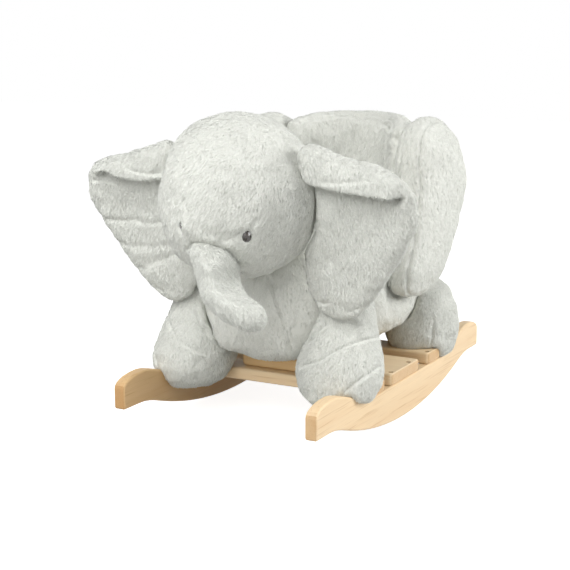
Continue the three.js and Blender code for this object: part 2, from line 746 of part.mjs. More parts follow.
// Eyes: a domed oval bead on a stem, held inside the head by a washer
function eyeDirection(side) {
  const turn = (faceTurn + side * eyeSpread) * degree;
  const drop = -(eyeDrop + side * eyeRoll) * degree;
  return new THREE.Vector3(
    Math.sin(turn) * Math.cos(drop), -Math.cos(turn) * Math.cos(drop), Math.sin(drop));
}
function eyeFrame(side) {
  const out = eyeDirection(side);
  const across = new THREE.Vector3().crossVectors(upward, out).normalize();
  const along = new THREE.Vector3().crossVectors(out, across);
  const seat = headCentre.clone().addScaledVector(out, headRadius - eyeDepth / 4);
  return new THREE.Matrix4().makeBasis(across, along, out).setPosition(seat);
}
function eyeBead(side, grow = 0) {
  const dome = new THREE.SphereGeometry(1, roundSteps, roundSteps / 2)
    .rotateX(Math.PI / 2)
    .scale(eyeWidth / 2 + grow, eyeTall / 2 + grow, eyeDepth / 2 + grow);
  const stem = new THREE.CylinderGeometry(
    eyeStemRadius + grow, eyeStemRadius + grow, eyeStemLength + grow, washerSteps);
  stem.rotateX(Math.PI / 2).translate(0, 0, -(eyeStemLength + grow) / 2);
  const frame = eyeFrame(side);
  return toSolid(dome.applyMatrix4(frame)).add(toSolid(stem.applyMatrix4(frame)));
}
function eyeWasher(side, grow = 0) {
  const ring = new THREE.CylinderGeometry(
    washerRadius + grow, washerRadius + grow, washerThickness + 2 * grow, washerSteps);
  ring.rotateX(Math.PI / 2).translate(0, 0, -washerDepth - washerThickness / 2);
  return toSolid(ring.applyMatrix4(eyeFrame(side)));
}

// Cutting the soft forms round what they hold and what they rest on
function bothSides(solid) {
  return [solid, mirrored(solid)];
}
const boxCore = block(
  new THREE.Vector3(-boxWidth / 2, -panelFront, 0),
  new THREE.Vector3(boxWidth / 2, panelFront, seatBoardBottom), seatGap);
const seatBoardSlot = flatBoard(seatBoardShape, boardThickness, boardEdge, seatBoardBottom, seatGap);
const backBoardSlot = crossBoard(backBoardShape, plyThickness, plyEdge, backBoardFront + plyThickness, seatGap);
const neckSlot = sideBoard(neckShape, neckThickness, boardEdge, -neckThickness / 2, seatGap);
const cleatSlots = cleats.map(([low, high]) => block(low, high, seatGap));
const wingBoardSlots = bothSides(sideBoard(wingBoardShape, plyThickness, plyEdge, wingBoardInner, seatGap));
const underHem = block(
  new THREE.Vector3(-baseWidth, -rockerLength, -rockerLength),
  new THREE.Vector3(baseWidth, rockerLength, hemHeight));
const aboveSeat = block(
  new THREE.Vector3(-baseWidth, -rockerLength, seatBoardTop - boardEdge),
  new THREE.Vector3(baseWidth, rockerLength, rockerLength));
const baseSlots = [
  ...bothSides(rockerBoard(seatGap)),
  ...[[-railOffset, railDepth], [middleOffset, middleDepth], [railOffset, railDepth]].map(([y, depth]) => block(
    new THREE.Vector3(-baseWidth / 2, y - depth / 2, boardBottom - boardThickness / 4),
    new THREE.Vector3(baseWidth / 2, y + depth / 2, boardTop), seatGap)),
];

const headTool = plumpForm(headForm, seatGap);
const chestTool = plumpForm(chestForm, seatGap);
const wingTools = bothSides(wing(seatGap));
const tubTool = tub(seatGap);
const bodyTool = cut(plumpForm(bellyForm, seatGap), [aboveSeat]).add(chestTool);

const body = cut(cut(plumpForm(bellyForm), [aboveSeat]).add(plumpForm(chestForm)), [
  underHem, boxCore, seatBoardSlot, backBoardSlot, neckSlot, ...cleatSlots, headTool,
  ...wingBoardSlots, ...wingTools,
]);
const frontLegs = bothSides(legForm(frontLeg)).map((leg) => cut(leg, [
  bodyTool, headTool, ...baseSlots, seatBoardSlot]));
const rearLegs = bothSides(legForm(rearLeg)).map((leg) => cut(leg, [bodyTool, ...baseSlots, ...wingTools]));
const wings = bothSides(wing()).map((panel, i) => cut(panel, [wingBoardSlots[i], seatBoardSlot]));
const backrest = cut(tub(), [backBoardSlot, ...wingTools, seatBoardSlot]);
const pad = cut(seatPad(), [chestTool, tubTool, ...wingTools, ...cleatSlots, neckSlot]);
const eyeTools = [1, -1].flatMap((side) => [eyeBead(side, seatGap), eyeWasher(side, seatGap)]);
const head = cut(plumpForm(headForm), [neckSlot, gripHole, ...eyeTools]);

// What moves is also cut clear of what it passes on its way
const swingSteps = 5;
const liftSteps = 4;
const spareTurn = 1;
const ears = bothSides(earWhole()).map((whole, i) => {
  const side = i === 0 ? 1 : -1;
  const point = new THREE.Vector3(side * earHingeLow.x, earHingeLow.y, earHingeLow.z);
  const axis = new THREE.Vector3(side * earAxisUp.x, earAxisUp.y, earAxisUp.z);
  const tools = [headTool, bodyTool, bothSides(legForm(frontLeg, seatGap))[i], gripHole];
  let ear = whole;
  for (let step = 0; step <= swingSteps; step += 1) {
    const angle = side * step * (earSwing + spareTurn) / swingSteps;
    ear = cut(ear, tools.map((tool) => turned(tool, point, axis, angle)));
  }
  return ear;
});
function trunkCut() {
  let trunk = trunkWhole();
  for (let step = 0; step <= liftSteps; step += 1) {
    const angle = -step * (trunkLiftAngle + spareTurn) / liftSteps;
    trunk = cut(trunk, [turned(headTool, trunkHinge, trunkAxis, angle)]);
  }
  return trunk;
}

// Assembly
const elephant = new THREE.Group();
elephant.name = 'rocking_elephant';
function addPiece(name, solid, material) {
  const piece = new THREE.Mesh(toGeometry(solid), material);
  piece.name = name;
  elephant.add(piece);
}
addPiece('rocker_left', rockerLeft, mesh.beech);
addPiece('rocker_right', rockerRight, mesh.beech);
addPiece('front_rail', baseBoard('front', -railOffset, railDepth), mesh.beech);
addPiece('middle_board', baseBoard('middle', middleOffset, middleDepth), mesh.beech);
addPiece('rear_rail', baseBoard('rear', railOffset, railDepth), mesh.beech);
for (const { name, x, y } of screwPlaces) addPiece(name, screwAt(x, y), mesh.steel);
addPiece('front_panel', frontPanel, mesh.beech);
addPiece('rear_panel', rearPanel, mesh.beech);
addPiece('box_side_left', boxSideLeft, mesh.beech);
addPiece('box_side_right', boxSideRight, mesh.beech);
addPiece('seat_board', seatBoard, mesh.plywood);
addPiece('back_board', backBoard, mesh.plywood);
addPiece('wing_board_left', wingBoardLeft, mesh.plywood);
addPiece('wing_board_right', mirrored(wingBoardLeft), mesh.plywood);
addPiece('neck_board', neckBoard, mesh.plywood);
addPiece('neck_cleat_left', block(...cleats[0]), mesh.beech);
addPiece('neck_cleat_right', block(...cleats[1]), mesh.beech);
addPiece('grip_bar', gripBar(), mesh.beech);
addPiece('body', body, mesh.plush);
addPiece('head', head, mesh.plush);
addPiece('ear_left', ears[0], mesh.plush);
addPiece('ear_right', ears[1], mesh.plush);
addPiece('trunk', trunkCut(), mesh.plush);
addPiece('front_leg_left', frontLegs[0], mesh.plush);
addPiece('front_leg_right', frontLegs[1], mesh.plush);
addPiece('rear_leg_left', rearLegs[0], mesh.plush);
addPiece('rear_leg_right', rearLegs[1], mesh.plush);
addPiece('wing_left', wings[0], mesh.plush);
addPiece('wing_right', wings[1], mesh.plush);
addPiece('backrest', backrest, mesh.plush);
addPiece('seat_pad', pad, mesh.plush);
for (const [name, side] of [['left', 1], ['right', -1]]) {
  addPiece(`eye_${name}`, eyeBead(side), mesh.bead);
  addPiece(`eye_washer_${name}`, cut(eyeWasher(side), [eyeBead(side, seatGap)]), mesh.washer);
}

// The origin lies on the floor under the middle of the whole outline
const outline = new THREE.Box3().setFromObject(elephant);
elephant.position.y = -(outline.min.y + outline.max.y) / 2;

export default elephant;
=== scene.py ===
"""Dresses a child's rocking elephant: plush skins with combed pile, stitched seams, glossy
bead eyes and a beech rocker frame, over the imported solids."""

import bmesh
import bpy
import numpy as np
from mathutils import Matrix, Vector
from mathutils.bvhtree import BVHTree


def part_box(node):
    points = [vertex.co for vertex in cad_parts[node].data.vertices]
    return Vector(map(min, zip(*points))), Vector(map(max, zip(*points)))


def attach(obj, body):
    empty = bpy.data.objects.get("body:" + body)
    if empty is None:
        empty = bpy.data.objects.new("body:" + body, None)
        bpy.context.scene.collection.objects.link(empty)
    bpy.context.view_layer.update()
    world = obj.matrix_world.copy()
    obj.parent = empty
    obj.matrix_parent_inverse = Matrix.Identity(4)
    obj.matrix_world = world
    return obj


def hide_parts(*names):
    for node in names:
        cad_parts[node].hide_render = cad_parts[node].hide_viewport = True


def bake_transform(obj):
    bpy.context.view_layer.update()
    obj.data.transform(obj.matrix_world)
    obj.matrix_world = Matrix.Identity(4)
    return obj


bl_info = {
    "name": "Rocking elephant",
    "version": (1, 0, 0),
    "blender": (4, 5, 0),
    "location": "3D View > Sidebar > Elephant",
    "description": "Plush skins, pile, bead eyes and beech finishes for a rocking elephant",
    "category": "Object",
}

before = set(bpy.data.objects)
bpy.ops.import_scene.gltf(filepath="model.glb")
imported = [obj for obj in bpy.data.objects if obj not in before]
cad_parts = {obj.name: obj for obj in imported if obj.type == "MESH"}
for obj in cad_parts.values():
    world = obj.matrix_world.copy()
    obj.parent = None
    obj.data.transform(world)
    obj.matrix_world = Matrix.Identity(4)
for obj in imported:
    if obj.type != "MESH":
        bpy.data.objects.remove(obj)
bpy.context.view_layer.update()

MM = 0.001
SIDES = ("left", "right")
# The solids' own origin sits this far along y from the middle between the front feet and the tub.
SHIFT = (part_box("rocker_left")[0][1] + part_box("rocker_left")[1][1]) / 2

# The photograph's view: how far the camera stands round from the front and above the level, and its place.
VIEW_AROUND, VIEW_ABOVE = np.radians((28.275494560275153, 11.309234700953098))
VIEW_PLACE = (886.98, -1738.05, 572.40)


# Plain sums that several pieces share


def place(points):
    """Millimetres about the toy's own middle, as metres in the frame of the solids."""
    return np.asarray(points, float) * MM + np.array([0, SHIFT, 0])


def unit(v):
    """The vectors in the last axis at length one."""
    return v / np.maximum(np.linalg.norm(v, axis=-1, keepdims=True), 1e-12)


def towards_camera():
    """The direction from the toy to the camera."""
    level = np.cos(VIEW_ABOVE)
    return np.array([np.sin(VIEW_AROUND) * level, -np.cos(VIEW_AROUND) * level, np.sin(VIEW_ABOVE)])


def ease(value, start, end):
    """0 before start, 1 after end, and 3t^2 - 2t^3 between them."""
    t = np.clip((value - start) / (end - start), 0, 1)
    return t * t * (3 - 2 * t)


def dip(distance, reach):
    """1 at no distance, falling as exp(-(distance / reach)^2)."""
    return np.exp(-((distance / reach) ** 2))


def ripple(points, wavelength, seed, waves=24):
    """Soft seeded noise of about -1 to 1: a sum of sine waves in random directions, near one wavelength."""
    rng = np.random.default_rng(seed)
    directions = unit(rng.normal(size=(waves, 3)))
    lengths = wavelength * rng.uniform(0.7, 1.5, waves)
    phase = rng.uniform(0, 2 * np.pi, waves)
    return np.sin(points @ (directions / lengths[:, None] * 2 * np.pi).T + phase).sum(1) / np.sqrt(waves)


def path_distance(points, path):
    """For each point: its distance to the line through path, and how far along it the nearest place is."""
    starts, steps = path[:-1], np.diff(path, axis=0)
    lengths = np.linalg.norm(steps, axis=1)
    before = np.concatenate([[0], np.cumsum(lengths)[:-1]])
    near = np.full(len(points), np.inf)
    along = np.zeros(len(points))
    for start, step, length, behind in zip(starts, steps, lengths, before):
        share = np.clip((points - start) @ step / length**2, 0, 1)
        away = np.linalg.norm(points - start - share[:, None] * step, axis=1)
        closer = away < near
        near[closer] = away[closer]
        along[closer] = (behind + share * length)[closer]
    return near, along


def rounded(path, count=40):
    """A smooth line through the points of path: Catmull-Rom, count points in all."""
    path = np.asarray(path, float)
    padded = np.vstack([2 * path[0] - path[1], path, 2 * path[-1] - path[-2]])
    t = np.linspace(0, len(path) - 1 - 1e-9, count)
    i = t.astype(int)
    f = (t - i)[:, None]
    a, b, c, d = (padded[i + k] for k in range(4))
    return 0.5 * (2 * b + (c - a) * f + (2 * a - 5 * b + 4 * c - d) * f**2 + (3 * b - a - 3 * c + d) * f**3)


def mirrored(path):
    """The same line on the other side of the toy."""
    return [(-x, y, z) for x, y, z in path]


# Meshes


def read(items, key, kind, width):
    """A property of all items as an array of rows."""
    values = np.empty(len(items) * width, kind)
    items.foreach_get(key, values)
    return values.reshape(-1, width)


def points_of(mesh):
    """A mesh's points as an array."""
    return read(mesh.vertices, "co", np.float32, 3).astype(float)


def normals_of(mesh):
    """A mesh's point normals as an array."""
    return read(mesh.vertices, "normal", np.float32, 3).astype(float)


def edges_of(mesh):
    """A mesh's edges as an array of point numbers."""
    return read(mesh.edges, "vertices", np.int32, 2)


def move_points(mesh, points):
    """Writes the array of points back into the mesh."""
    mesh.vertices.foreach_set("co", points.astype(np.float32).ravel())
    mesh.update()


def push(mesh, move):
    """Moves each point along its normal."""
    move_points(mesh, points_of(mesh) + normals_of(mesh) * move[:, None])


def triangles_of(mesh):
    """A mesh's triangles as an array of point numbers."""
    mesh.calc_loop_triangles()
    return read(mesh.loop_triangles, "vertices", np.int32, 3)


def joined(mesh, gap):
    """A bmesh of the mesh with corners closer than gap merged."""
    work = bmesh.new()
    work.from_mesh(mesh)
    bmesh.ops.remove_doubles(work, verts=work.verts, dist=gap)
    return work


def linked(name, data):
    """A new object in the scene."""
    piece = bpy.data.objects.new(name, data)
    bpy.context.scene.collection.objects.link(piece)
    return piece


def take_modifiers(piece):
    """The piece's mesh becomes what its modifiers make of it."""
    before = piece.data
    after = bpy.data.meshes.new_from_object(piece.evaluated_get(bpy.context.evaluated_depsgraph_get()))
    piece.modifiers.clear()
    piece.data = after
    name = before.name
    bpy.data.meshes.remove(before)
    after.name = name


def new_piece(name, points, faces, finish):
    """A mesh object from points in metres and faces that all have the same number of corners."""
    mesh = bpy.data.meshes.new(name)
    mesh.vertices.add(len(points))
    mesh.vertices.foreach_set("co", points.astype(np.float32).ravel())
    mesh.loops.add(faces.size)
    mesh.loops.foreach_set("vertex_index", faces.astype(np.int32).ravel())
    mesh.polygons.add(len(faces))
    mesh.polygons.foreach_set("loop_start", np.arange(0, faces.size, faces.shape[1], dtype=np.int32))
    mesh.polygons.foreach_set("use_smooth", np.ones(len(faces), bool))
    mesh.update(calc_edges=True)
    mesh.materials.append(finish)
    return linked(name, mesh)


def calm(points, edges, rounds, share=0.5):
    """Each point moves by share towards the mean of its neighbours, rounds times."""
    count = np.bincount(edges.ravel(), minlength=len(points))[:, None]
    for _ in range(rounds):
        total = np.stack(
            [
                np.bincount(edges[:, 0], points[edges[:, 1], k], len(points))
                + np.bincount(edges[:, 1], points[edges[:, 0], k], len(points))
                for k in range(3)
            ],
            axis=1,
        )
        points = points + share * (total / np.maximum(count, 1) - points)
    return points


# Sewing: skins that are cut from the solids, filled and stitched


def blank_skin(node, name, voxel, rounds):
    """A closed skin on a solid: its triangles merged, remeshed in voxels and calmed."""
    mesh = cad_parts[node].data.copy()
    mesh.name = name
    mesh.materials.clear()
    work = joined(mesh, 1e-6)
    work.to_mesh(mesh)
    work.free()
    skin = linked(name, mesh)
    remesh = skin.modifiers.new("Voxels", "REMESH")
    remesh.mode = "VOXEL"
    remesh.voxel_size = voxel
    take_modifiers(skin)
    move_points(skin.data, calm(points_of(skin.data), edges_of(skin.data), rounds))
    return skin


CLOTH_FRAMES = 20
CLOTH_PRESSURE = 4
HOLD_GRADES = 50


def held_by(seams, points):
    """How firmly the seams hold each point: exp(-(distance / reach)^2) to the nearest of them."""
    hold = np.zeros(len(points))
    for path, reach, _, _ in seams:
        hold = np.maximum(hold, dip(path_distance(points, path)[0], reach))
    return hold


def swollen_points(skin, seams, start):
    """The skin's points after Cloth with pressure and no gravity has filled it, held along its seams."""
    held = skin.vertex_groups.new(name="stitched")
    grades = np.round(held_by(seams, start) * HOLD_GRADES)
    for grade in range(int(0.4 * HOLD_GRADES), HOLD_GRADES + 1):
        held.add(np.flatnonzero(grades == grade).tolist(), grade / HOLD_GRADES, "REPLACE")
    cloth = skin.modifiers.new("Filling", "CLOTH")
    cloth.settings.use_pressure = True
    cloth.settings.uniform_pressure_force = CLOTH_PRESSURE
    cloth.settings.effector_weights.gravity = 0
    if seams:
        cloth.settings.vertex_group_mass = held.name
    cloth.point_cache.frame_end = CLOTH_FRAMES
    for number in range(1, CLOTH_FRAMES + 1):
        bpy.context.scene.frame_set(number)
    swollen = points_of(skin.evaluated_get(bpy.context.evaluated_depsgraph_get()).data)
    skin.modifiers.clear()
    skin.vertex_groups.clear()
    bpy.context.scene.frame_set(1)
    return swollen


def fill_skin(skin, start_inset, most, seams):
    """Swells the skin as cloth from an inset start. Where a point ends further in than it was before the
    inset, a fifth of that stays. The steps are calmed among neighbours, and none is longer than most."""
    mesh = skin.data
    before, outward = points_of(mesh), normals_of(mesh)
    move_points(mesh, before - outward * start_inset)
    step = swollen_points(skin, seams, before) - before
    sunk = np.minimum((step * outward).sum(1, keepdims=True), 0)
    step = calm(step - 0.8 * sunk * outward, edges_of(mesh), 12)
    far = np.linalg.norm(step, axis=1, keepdims=True)
    move_points(mesh, before + step * np.minimum(1, most / np.maximum(far, 1e-9)))
    fine = skin.modifiers.new("Fine", "SUBSURF")
    fine.levels = fine.render_levels = 1
    take_modifiers(skin)
    skin.data.polygons.foreach_set("use_smooth", np.ones(len(skin.data.polygons), bool))


def stitch(mesh, seams):
    """Pulls the skin in along each seam: inward by depth * exp(-(distance / reach)^2), with small puckers of
    about 4 cm that run across the seam and fade over twice its reach."""
    points = points_of(mesh)
    move = np.zeros(len(points))
    for path, reach, depth, pucker in seams:
        near, along = path_distance(points, path)
        wave = np.sin(along / 0.0062 + 2 * np.sin(along / 0.017))
        move += pucker * wave * dip(near, 2 * reach) - depth * dip(near, reach)
    push(mesh, move)


def handle(mesh, seed, lumps=0.0012):
    """The unevenness of loose filling along the normals: a soft noise of about 6 cm, and a smaller one of
    about 2 cm at 0.4 of its height."""
    points = points_of(mesh)
    push(mesh, lumps * ripple(points, 0.06, seed) + 0.4 * lumps * ripple(points, 0.022, seed + 1))


EVERYWHERE = 1000


def swell(mesh, spots):
    """Raises or sinks the skin round each spot: along the normals by height * exp(-(distance / reach)^2). A
    spot is (points of a line or one point, reach, height) in millimetres, and the reach EVERYWHERE takes in
    the whole skin."""
    points = points_of(mesh)
    move = np.zeros(len(points))
    for path, reach, height in spots:
        line = place(path).reshape(-1, 3)
        if len(line) > 1:
            near, _ = path_distance(points, rounded(line))
        else:
            near = np.linalg.norm(points - line[0], axis=1)
        move += height * MM * dip(near, reach * MM)
    push(mesh, move)


def pinch(mesh, distance, where, reach=2.5, depth=2.0):
    """A seam where distance (millimetres from a plane or a cylinder) is nil, at the strength where gives:
    inward by depth * exp(-(distance / reach)^2)."""
    points, normals = points_of(mesh), normals_of(mesh)
    push(mesh, -depth * MM * dip(distance(points), reach) * where(points, normals))


def metres(seams):
    """Seams in millimetres as smooth lines and sizes in metres."""
    return [(rounded(place(path)), *(size * MM for size in sizes)) for path, *sizes in seams]


def sew(
    node, name, seams=(), voxel=0.005, rounds=6, inset=0.002, most=0.006, lumps=0.0012, seed=1,
    over=False,
):
    """A finished padded skin in place of a solid, or over it. Its seams are (line, reach, depth, pucker) in
    millimetres, and the other sizes are in metres."""
    seams = metres(seams)
    skin = blank_skin(node, name, voxel, rounds)
    fill_skin(skin, inset, most, seams)
    handle(skin.data, seed, lumps)
    stitch(skin.data, seams)
    skin.data.materials.append(finish("plush"))
    if not over:
        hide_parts(node)
    return skin


# Pile


def strew(mesh, count, seed):
    """Points spread evenly by area over a mesh, with the skin's normal at each."""
    points, normals, triangles = points_of(mesh), normals_of(mesh), triangles_of(mesh)
    a, b, c = (points[triangles[:, k]] for k in range(3))
    size = np.linalg.norm(np.cross(b - a, c - a), axis=1)
    rng = np.random.default_rng(seed)
    at = (np.arange(count) + rng.uniform(size=count)) / count
    pick = np.minimum(np.searchsorted(np.cumsum(size) / size.sum(), at), len(size) - 1)
    u, v = rng.uniform(size=(2, count, 1))
    u, v = np.where(u + v > 1, 1 - u, u), np.where(u + v > 1, 1 - v, v)
    weights = (1 - u - v, u, v)
    root = sum(w * points[triangles[pick, k]] for k, w in enumerate(weights))
    normal = unit(sum(w * normals[triangles[pick, k]] for k, w in enumerate(weights)))
    return root, normal, rng


SOLID_TREES = {}


def solid_tree(name):
    """A search tree on a solid, made the first time."""
    if name not in SOLID_TREES:
        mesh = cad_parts[name].data
        SOLID_TREES[name] = BVHTree.FromPolygons(points_of(mesh).tolist(), triangles_of(mesh).tolist())
    return SOLID_TREES[name]


def buried(points, names):
    """Which points lie inside one of the named solids, or closer than 1 mm to it."""
    inside = np.zeros(len(points), bool)
    for name in names:
        low, high = (np.array(corner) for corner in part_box(name))
        near = np.flatnonzero(~inside & ((points > low - MM) & (points < high + MM)).all(1))
        tree = solid_tree(name)
        for index in near:
            spot, normal, _, away = tree.find_nearest(points[index])
            inside[index] = away < MM or (Vector(points[index]) - spot).dot(normal) < 0
    return inside


def comb(x, y, z):
    """One comb direction for every point."""
    return lambda points: np.tile(np.array([x, y, z], float), (len(points), 1))


# A tuft's usual length, width and depth of root in millimetres, and its lift off the skin in degrees.
TUFT_LENGTH, TUFT_WIDTH, TUFT_ROOT, TUFT_LIFT = 5, 0.88, 0.35, 12


def grow_pile(skin, name, combed, seed, most, tangle=0.1, behind=(), bare=()):
    """Tufts on a skin. Each is a closed four-sided spike: three root corners round a point on the skin, and a
    tip at root + length * (cos(lift) * flow + sin(lift) * normal), where flow is the comb direction laid on
    the skin and turned by swirls of about 5 cm and curls of about 14 mm. Lengths, widths and lifts vary about
    the usual. Tufts in the solids named in behind, and in the balls of bare, are left out."""
    settings = bpy.context.scene.elephant_plush
    root, normal, rng = strew(skin.data, int(most * settings.pile_density), seed)
    keep = ~buried(root + normal * 2 * MM, behind)
    for centre, radius in bare:
        keep &= np.linalg.norm(root - place(centre), axis=1) > radius * MM
    root, normal = root[keep], normal[keep]
    count = len(root)
    turn = 0.5 * np.stack([ripple(root, 0.014, seed + k) for k in (11, 12, 13)], axis=1)
    turn += np.stack([ripple(root, 0.05, seed + k) for k in (21, 22, 23)], axis=1)
    flow = unit(combed(root)) + tangle * turn + 0.2 * rng.normal(size=root.shape)
    flow = unit(flow - (flow * normal).sum(1, keepdims=True) * normal)
    side = np.cross(normal, flow)
    tall = TUFT_LENGTH * MM * rng.uniform(0.7, 1.25, (count, 1)) * settings.pile_length
    wide = TUFT_WIDTH * MM * rng.uniform(0.75, 1.3, (count, 1))
    tilt = TUFT_LIFT * (1 + 0.2 * ripple(root, 0.012, seed + 31)) + 5 * rng.normal(size=count)
    rise = np.radians(tilt)[:, None]
    sunk = root - normal * TUFT_ROOT * MM
    corners = np.stack(
        [
            sunk - side * wide / 2,
            sunk + side * wide / 2,
            sunk + normal * wide * 0.6,
            root + tall * (np.cos(rise) * flow + np.sin(rise) * normal),
        ],
        axis=1,
    )
    spike = np.array([[0, 1, 3], [1, 2, 3], [2, 0, 3], [0, 2, 1]])
    faces = (np.arange(count)[:, None, None] * 4 + spike).reshape(-1, 3)
    piece = new_piece(name, corners.reshape(-1, 3), faces, finish("pile"))
    lay_out_tufts(piece.data, count)
    soft = unit(normal + 0.34 * rng.normal(size=normal.shape) + 0.15 * side * rng.choice([-1, 1], (count, 1)))
    piece.data.normals_split_custom_set_from_vertices(np.repeat(soft, 4, axis=0))
    return piece


def lay_out_tufts(mesh, count):
    """A map with one cell of a square grid for each tuft: three faces share the cell's lower left, the fourth
    has its upper right."""
    across = int(np.ceil(np.sqrt(count)))
    cell = np.stack([np.arange(count) % across, np.arange(count) // across], axis=1)
    left, right, top, tip = (0.08, 0.08), (0.62, 0.08), (0.24, 0.3), (0.08, 0.88)
    layout = np.array(
        [[left, right, top], [right, tip, top], [tip, left, top], [(0.92, 0.92), (0.92, 0.25), (0.3, 0.92)]]
    )
    uv = (cell[:, None, None, :] + layout) / across
    mesh.uv_layers.new(name="OFBake").data.foreach_set("uv", uv.astype(np.float32).ravel())


def cover(skin, name, combed, **pile):
    """Pile on a skin, and both ride on the root body."""
    for piece in (skin, grow_pile(skin, name, combed, **pile)):
        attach(piece, "frame_and_body")


# Finishes


def finish(name):
    """The material of that name, made the first time."""
    make, *choice = FINISHES[name]
    return bpy.data.materials.get(name) or make(name, *choice)


class Finish:
    """A material with one Principled shader, and what adds nodes to it."""

    def __init__(self, name):
        self.material = bpy.data.materials.new(name)
        self.material.use_nodes = True
        self.tree = self.material.node_tree
        self.shader = self.tree.nodes["Principled BSDF"]

    def node(self, kind, **settings):
        """A new node with its settings."""
        made = self.tree.nodes.new(kind)
        for name, value in settings.items():
            setattr(made, name, value)
        return made

    def feed(self, node, **sockets):
        """Links or sets sockets by name, with _ for a space."""
        for name, value in sockets.items():
            socket = node.inputs[name.replace("_", " ")]
            if isinstance(value, bpy.types.NodeSocket):
                self.tree.links.new(value, socket)
            else:
                socket.default_value = value

    def spots(self, scale, detail, roughness=0.5, stretch=(1, 1, 1)):
        """Noise on Object coordinates, stretched by a Mapping node."""
        mapping = self.node("ShaderNodeMapping")
        self.feed(mapping, Vector=self.node("ShaderNodeTexCoord").outputs["Object"], Scale=stretch)
        noise = self.node("ShaderNodeTexNoise")
        self.feed(noise, Vector=mapping.outputs["Vector"], Scale=scale, Detail=detail, Roughness=roughness)
        return noise.outputs["Fac"]

    def steps(self, source, *steps):
        """A colour ramp: each step is a place from 0 to 1 and a colour."""
        ramp = self.node("ShaderNodeValToRGB")
        band = ramp.color_ramp
        while len(band.elements) < len(steps):
            band.elements.new(0.5)
        for element, (where, colour) in zip(band.elements, steps):
            element.position = where
            element.color = (*colour, 1)
        self.feed(ramp, Fac=source)
        return ramp.outputs["Color"]

    def mix(self, a, b, factor, blend="MIX"):
        """Colour a mixed or multiplied with colour b."""
        made = self.node("ShaderNodeMix", data_type="RGBA", blend_type=blend)
        self.feed(made, Factor=factor, A=a, B=b)
        return made.outputs["Result"]

    def part(self, coordinates, axis):
        """One axis of Object coordinates or of the object's normals."""
        parts = self.node("ShaderNodeSeparateXYZ")
        self.feed(parts, Vector=self.node("ShaderNodeTexCoord").outputs[coordinates])
        return parts.outputs["XYZ"[axis]]

    def count(self, operation, source, by=None):
        """A Math node on a source, with a fixed second number where the sum needs one."""
        made = self.node("ShaderNodeMath", operation=operation)
        self.tree.links.new(source, made.inputs[0])
        if by is not None:
            made.inputs[1].default_value = by
        return made.outputs[0]

    def facing(self, axis):
        """How far a face looks along an axis, from 0 to 1."""
        return self.count("ABSOLUTE", self.part("Normal", axis))

    def relief(self, height, strength, distance):
        """Bump on the shader."""
        bump = self.node("ShaderNodeBump")
        self.feed(bump, Height=height, Strength=strength, Distance=distance)
        self.feed(self.shader, Normal=bump.outputs["Normal"])


def clouded(name, spots, steps, **sockets):
    """A finish whose colour wanders between steps over soft noise."""
    made = Finish(name)
    made.feed(made.shader, Base_Color=made.steps(made.spots(*spots), *steps), **sockets)
    return made


def shade(colour, by):
    """A colour made darker or lighter by a factor."""
    return tuple(min(1.0, c * by) for c in colour)


def plush_finish(name):
    """Short grey-white plush: soft blotches, fine combed grain as bump, and a cloth sheen."""
    settings = bpy.context.scene.elephant_plush
    plush = clouded(
        name, (28, 3), ((0.32, settings.deep), (0.68, settings.pale)),
        Roughness=0.95, Specular_IOR_Level=0.1, Sheen_Weight=0.25, Sheen_Roughness=0.6,
    )
    plush.relief(plush.spots(420, 4, 0.65, (1, 1, 0.45)), 0.6, 0.002)
    return plush.material


def pile_finish(name):
    """The tufts: the plush colours with a finer change from tuft to tuft."""
    settings = bpy.context.scene.elephant_plush
    return clouded(
        name, (380, 4, 0.75), ((0.33, shade(settings.deep, 0.89)), (0.67, shade(settings.pale, 1.03))),
        Roughness=0.9, Specular_IOR_Level=0.15, Sheen_Weight=0.2, Sheen_Roughness=0.5,
    ).material


def grain_stretch(axis, along, across):
    """The scale of a pattern that is drawn out along the grain."""
    return tuple(along if k == axis else across for k in range(3))


def beech_finish(name, axis, tint=(1, 1, 1)):
    """Oiled beech: long soft bands and short dark flecks along the axis of the grain, darker end grain where
    a face looks along it, and fine pores as bump."""
    settings = bpy.context.scene.elephant_wood
    light, dark = (tuple(np.minimum(np.array(c) * tint, 0.95)) for c in (settings.light, settings.dark))
    beech = Finish(name)
    bands = beech.spots(46, 5, 0.6, grain_stretch(axis, 0.045, 1))
    base = beech.steps(bands, (0.25, dark), (0.5, shade(light, 0.93)), (0.75, light))
    flecks = beech.spots(160, 2, 0.5, grain_stretch(axis, 0.07, 3.5))
    marks = beech.steps(flecks, (0.3, (0.72, 0.6, 0.46)), (0.42, (1, 1, 1)))
    ends = beech.node("ShaderNodeMapRange", interpolation_type="SMOOTHSTEP")
    beech.feed(ends, Value=beech.facing(axis), From_Min=0.55, From_Max=0.9)
    whole = beech.mix(
        beech.mix(base, marks, 0.5, "MULTIPLY"), (0.76, 0.67, 0.57, 1), ends.outputs["Result"], "MULTIPLY"
    )
    beech.feed(beech.shader, Base_Color=whole, Roughness=0.5, Specular_IOR_Level=0.25)
    beech.relief(flecks, 0.12, 0.0006)
    return beech.material


def plywood_finish(name, axis):
    """Raw plywood: a veneer like the beech's, and on the edges 1.5 mm layers across the board's thin axis,
    light and dark in turn."""
    plywood = Finish(name)
    veneer = plywood.spots(60, 4, 0.6, grain_stretch(2, 0.06, 1))
    face = plywood.steps(veneer, (0.3, (0.6, 0.44, 0.26)), (0.7, (0.76, 0.6, 0.4)))
    wave = plywood.count("SINE", plywood.count("MULTIPLY", plywood.part("Object", axis), 2 * np.pi / 0.003))
    layers = plywood.steps(wave, (0.3, (0.5, 0.34, 0.19)), (0.7, (0.78, 0.62, 0.42)))
    plywood.feed(plywood.shader, Base_Color=plywood.mix(layers, face, plywood.facing(axis)), Roughness=0.75)
    return plywood.material


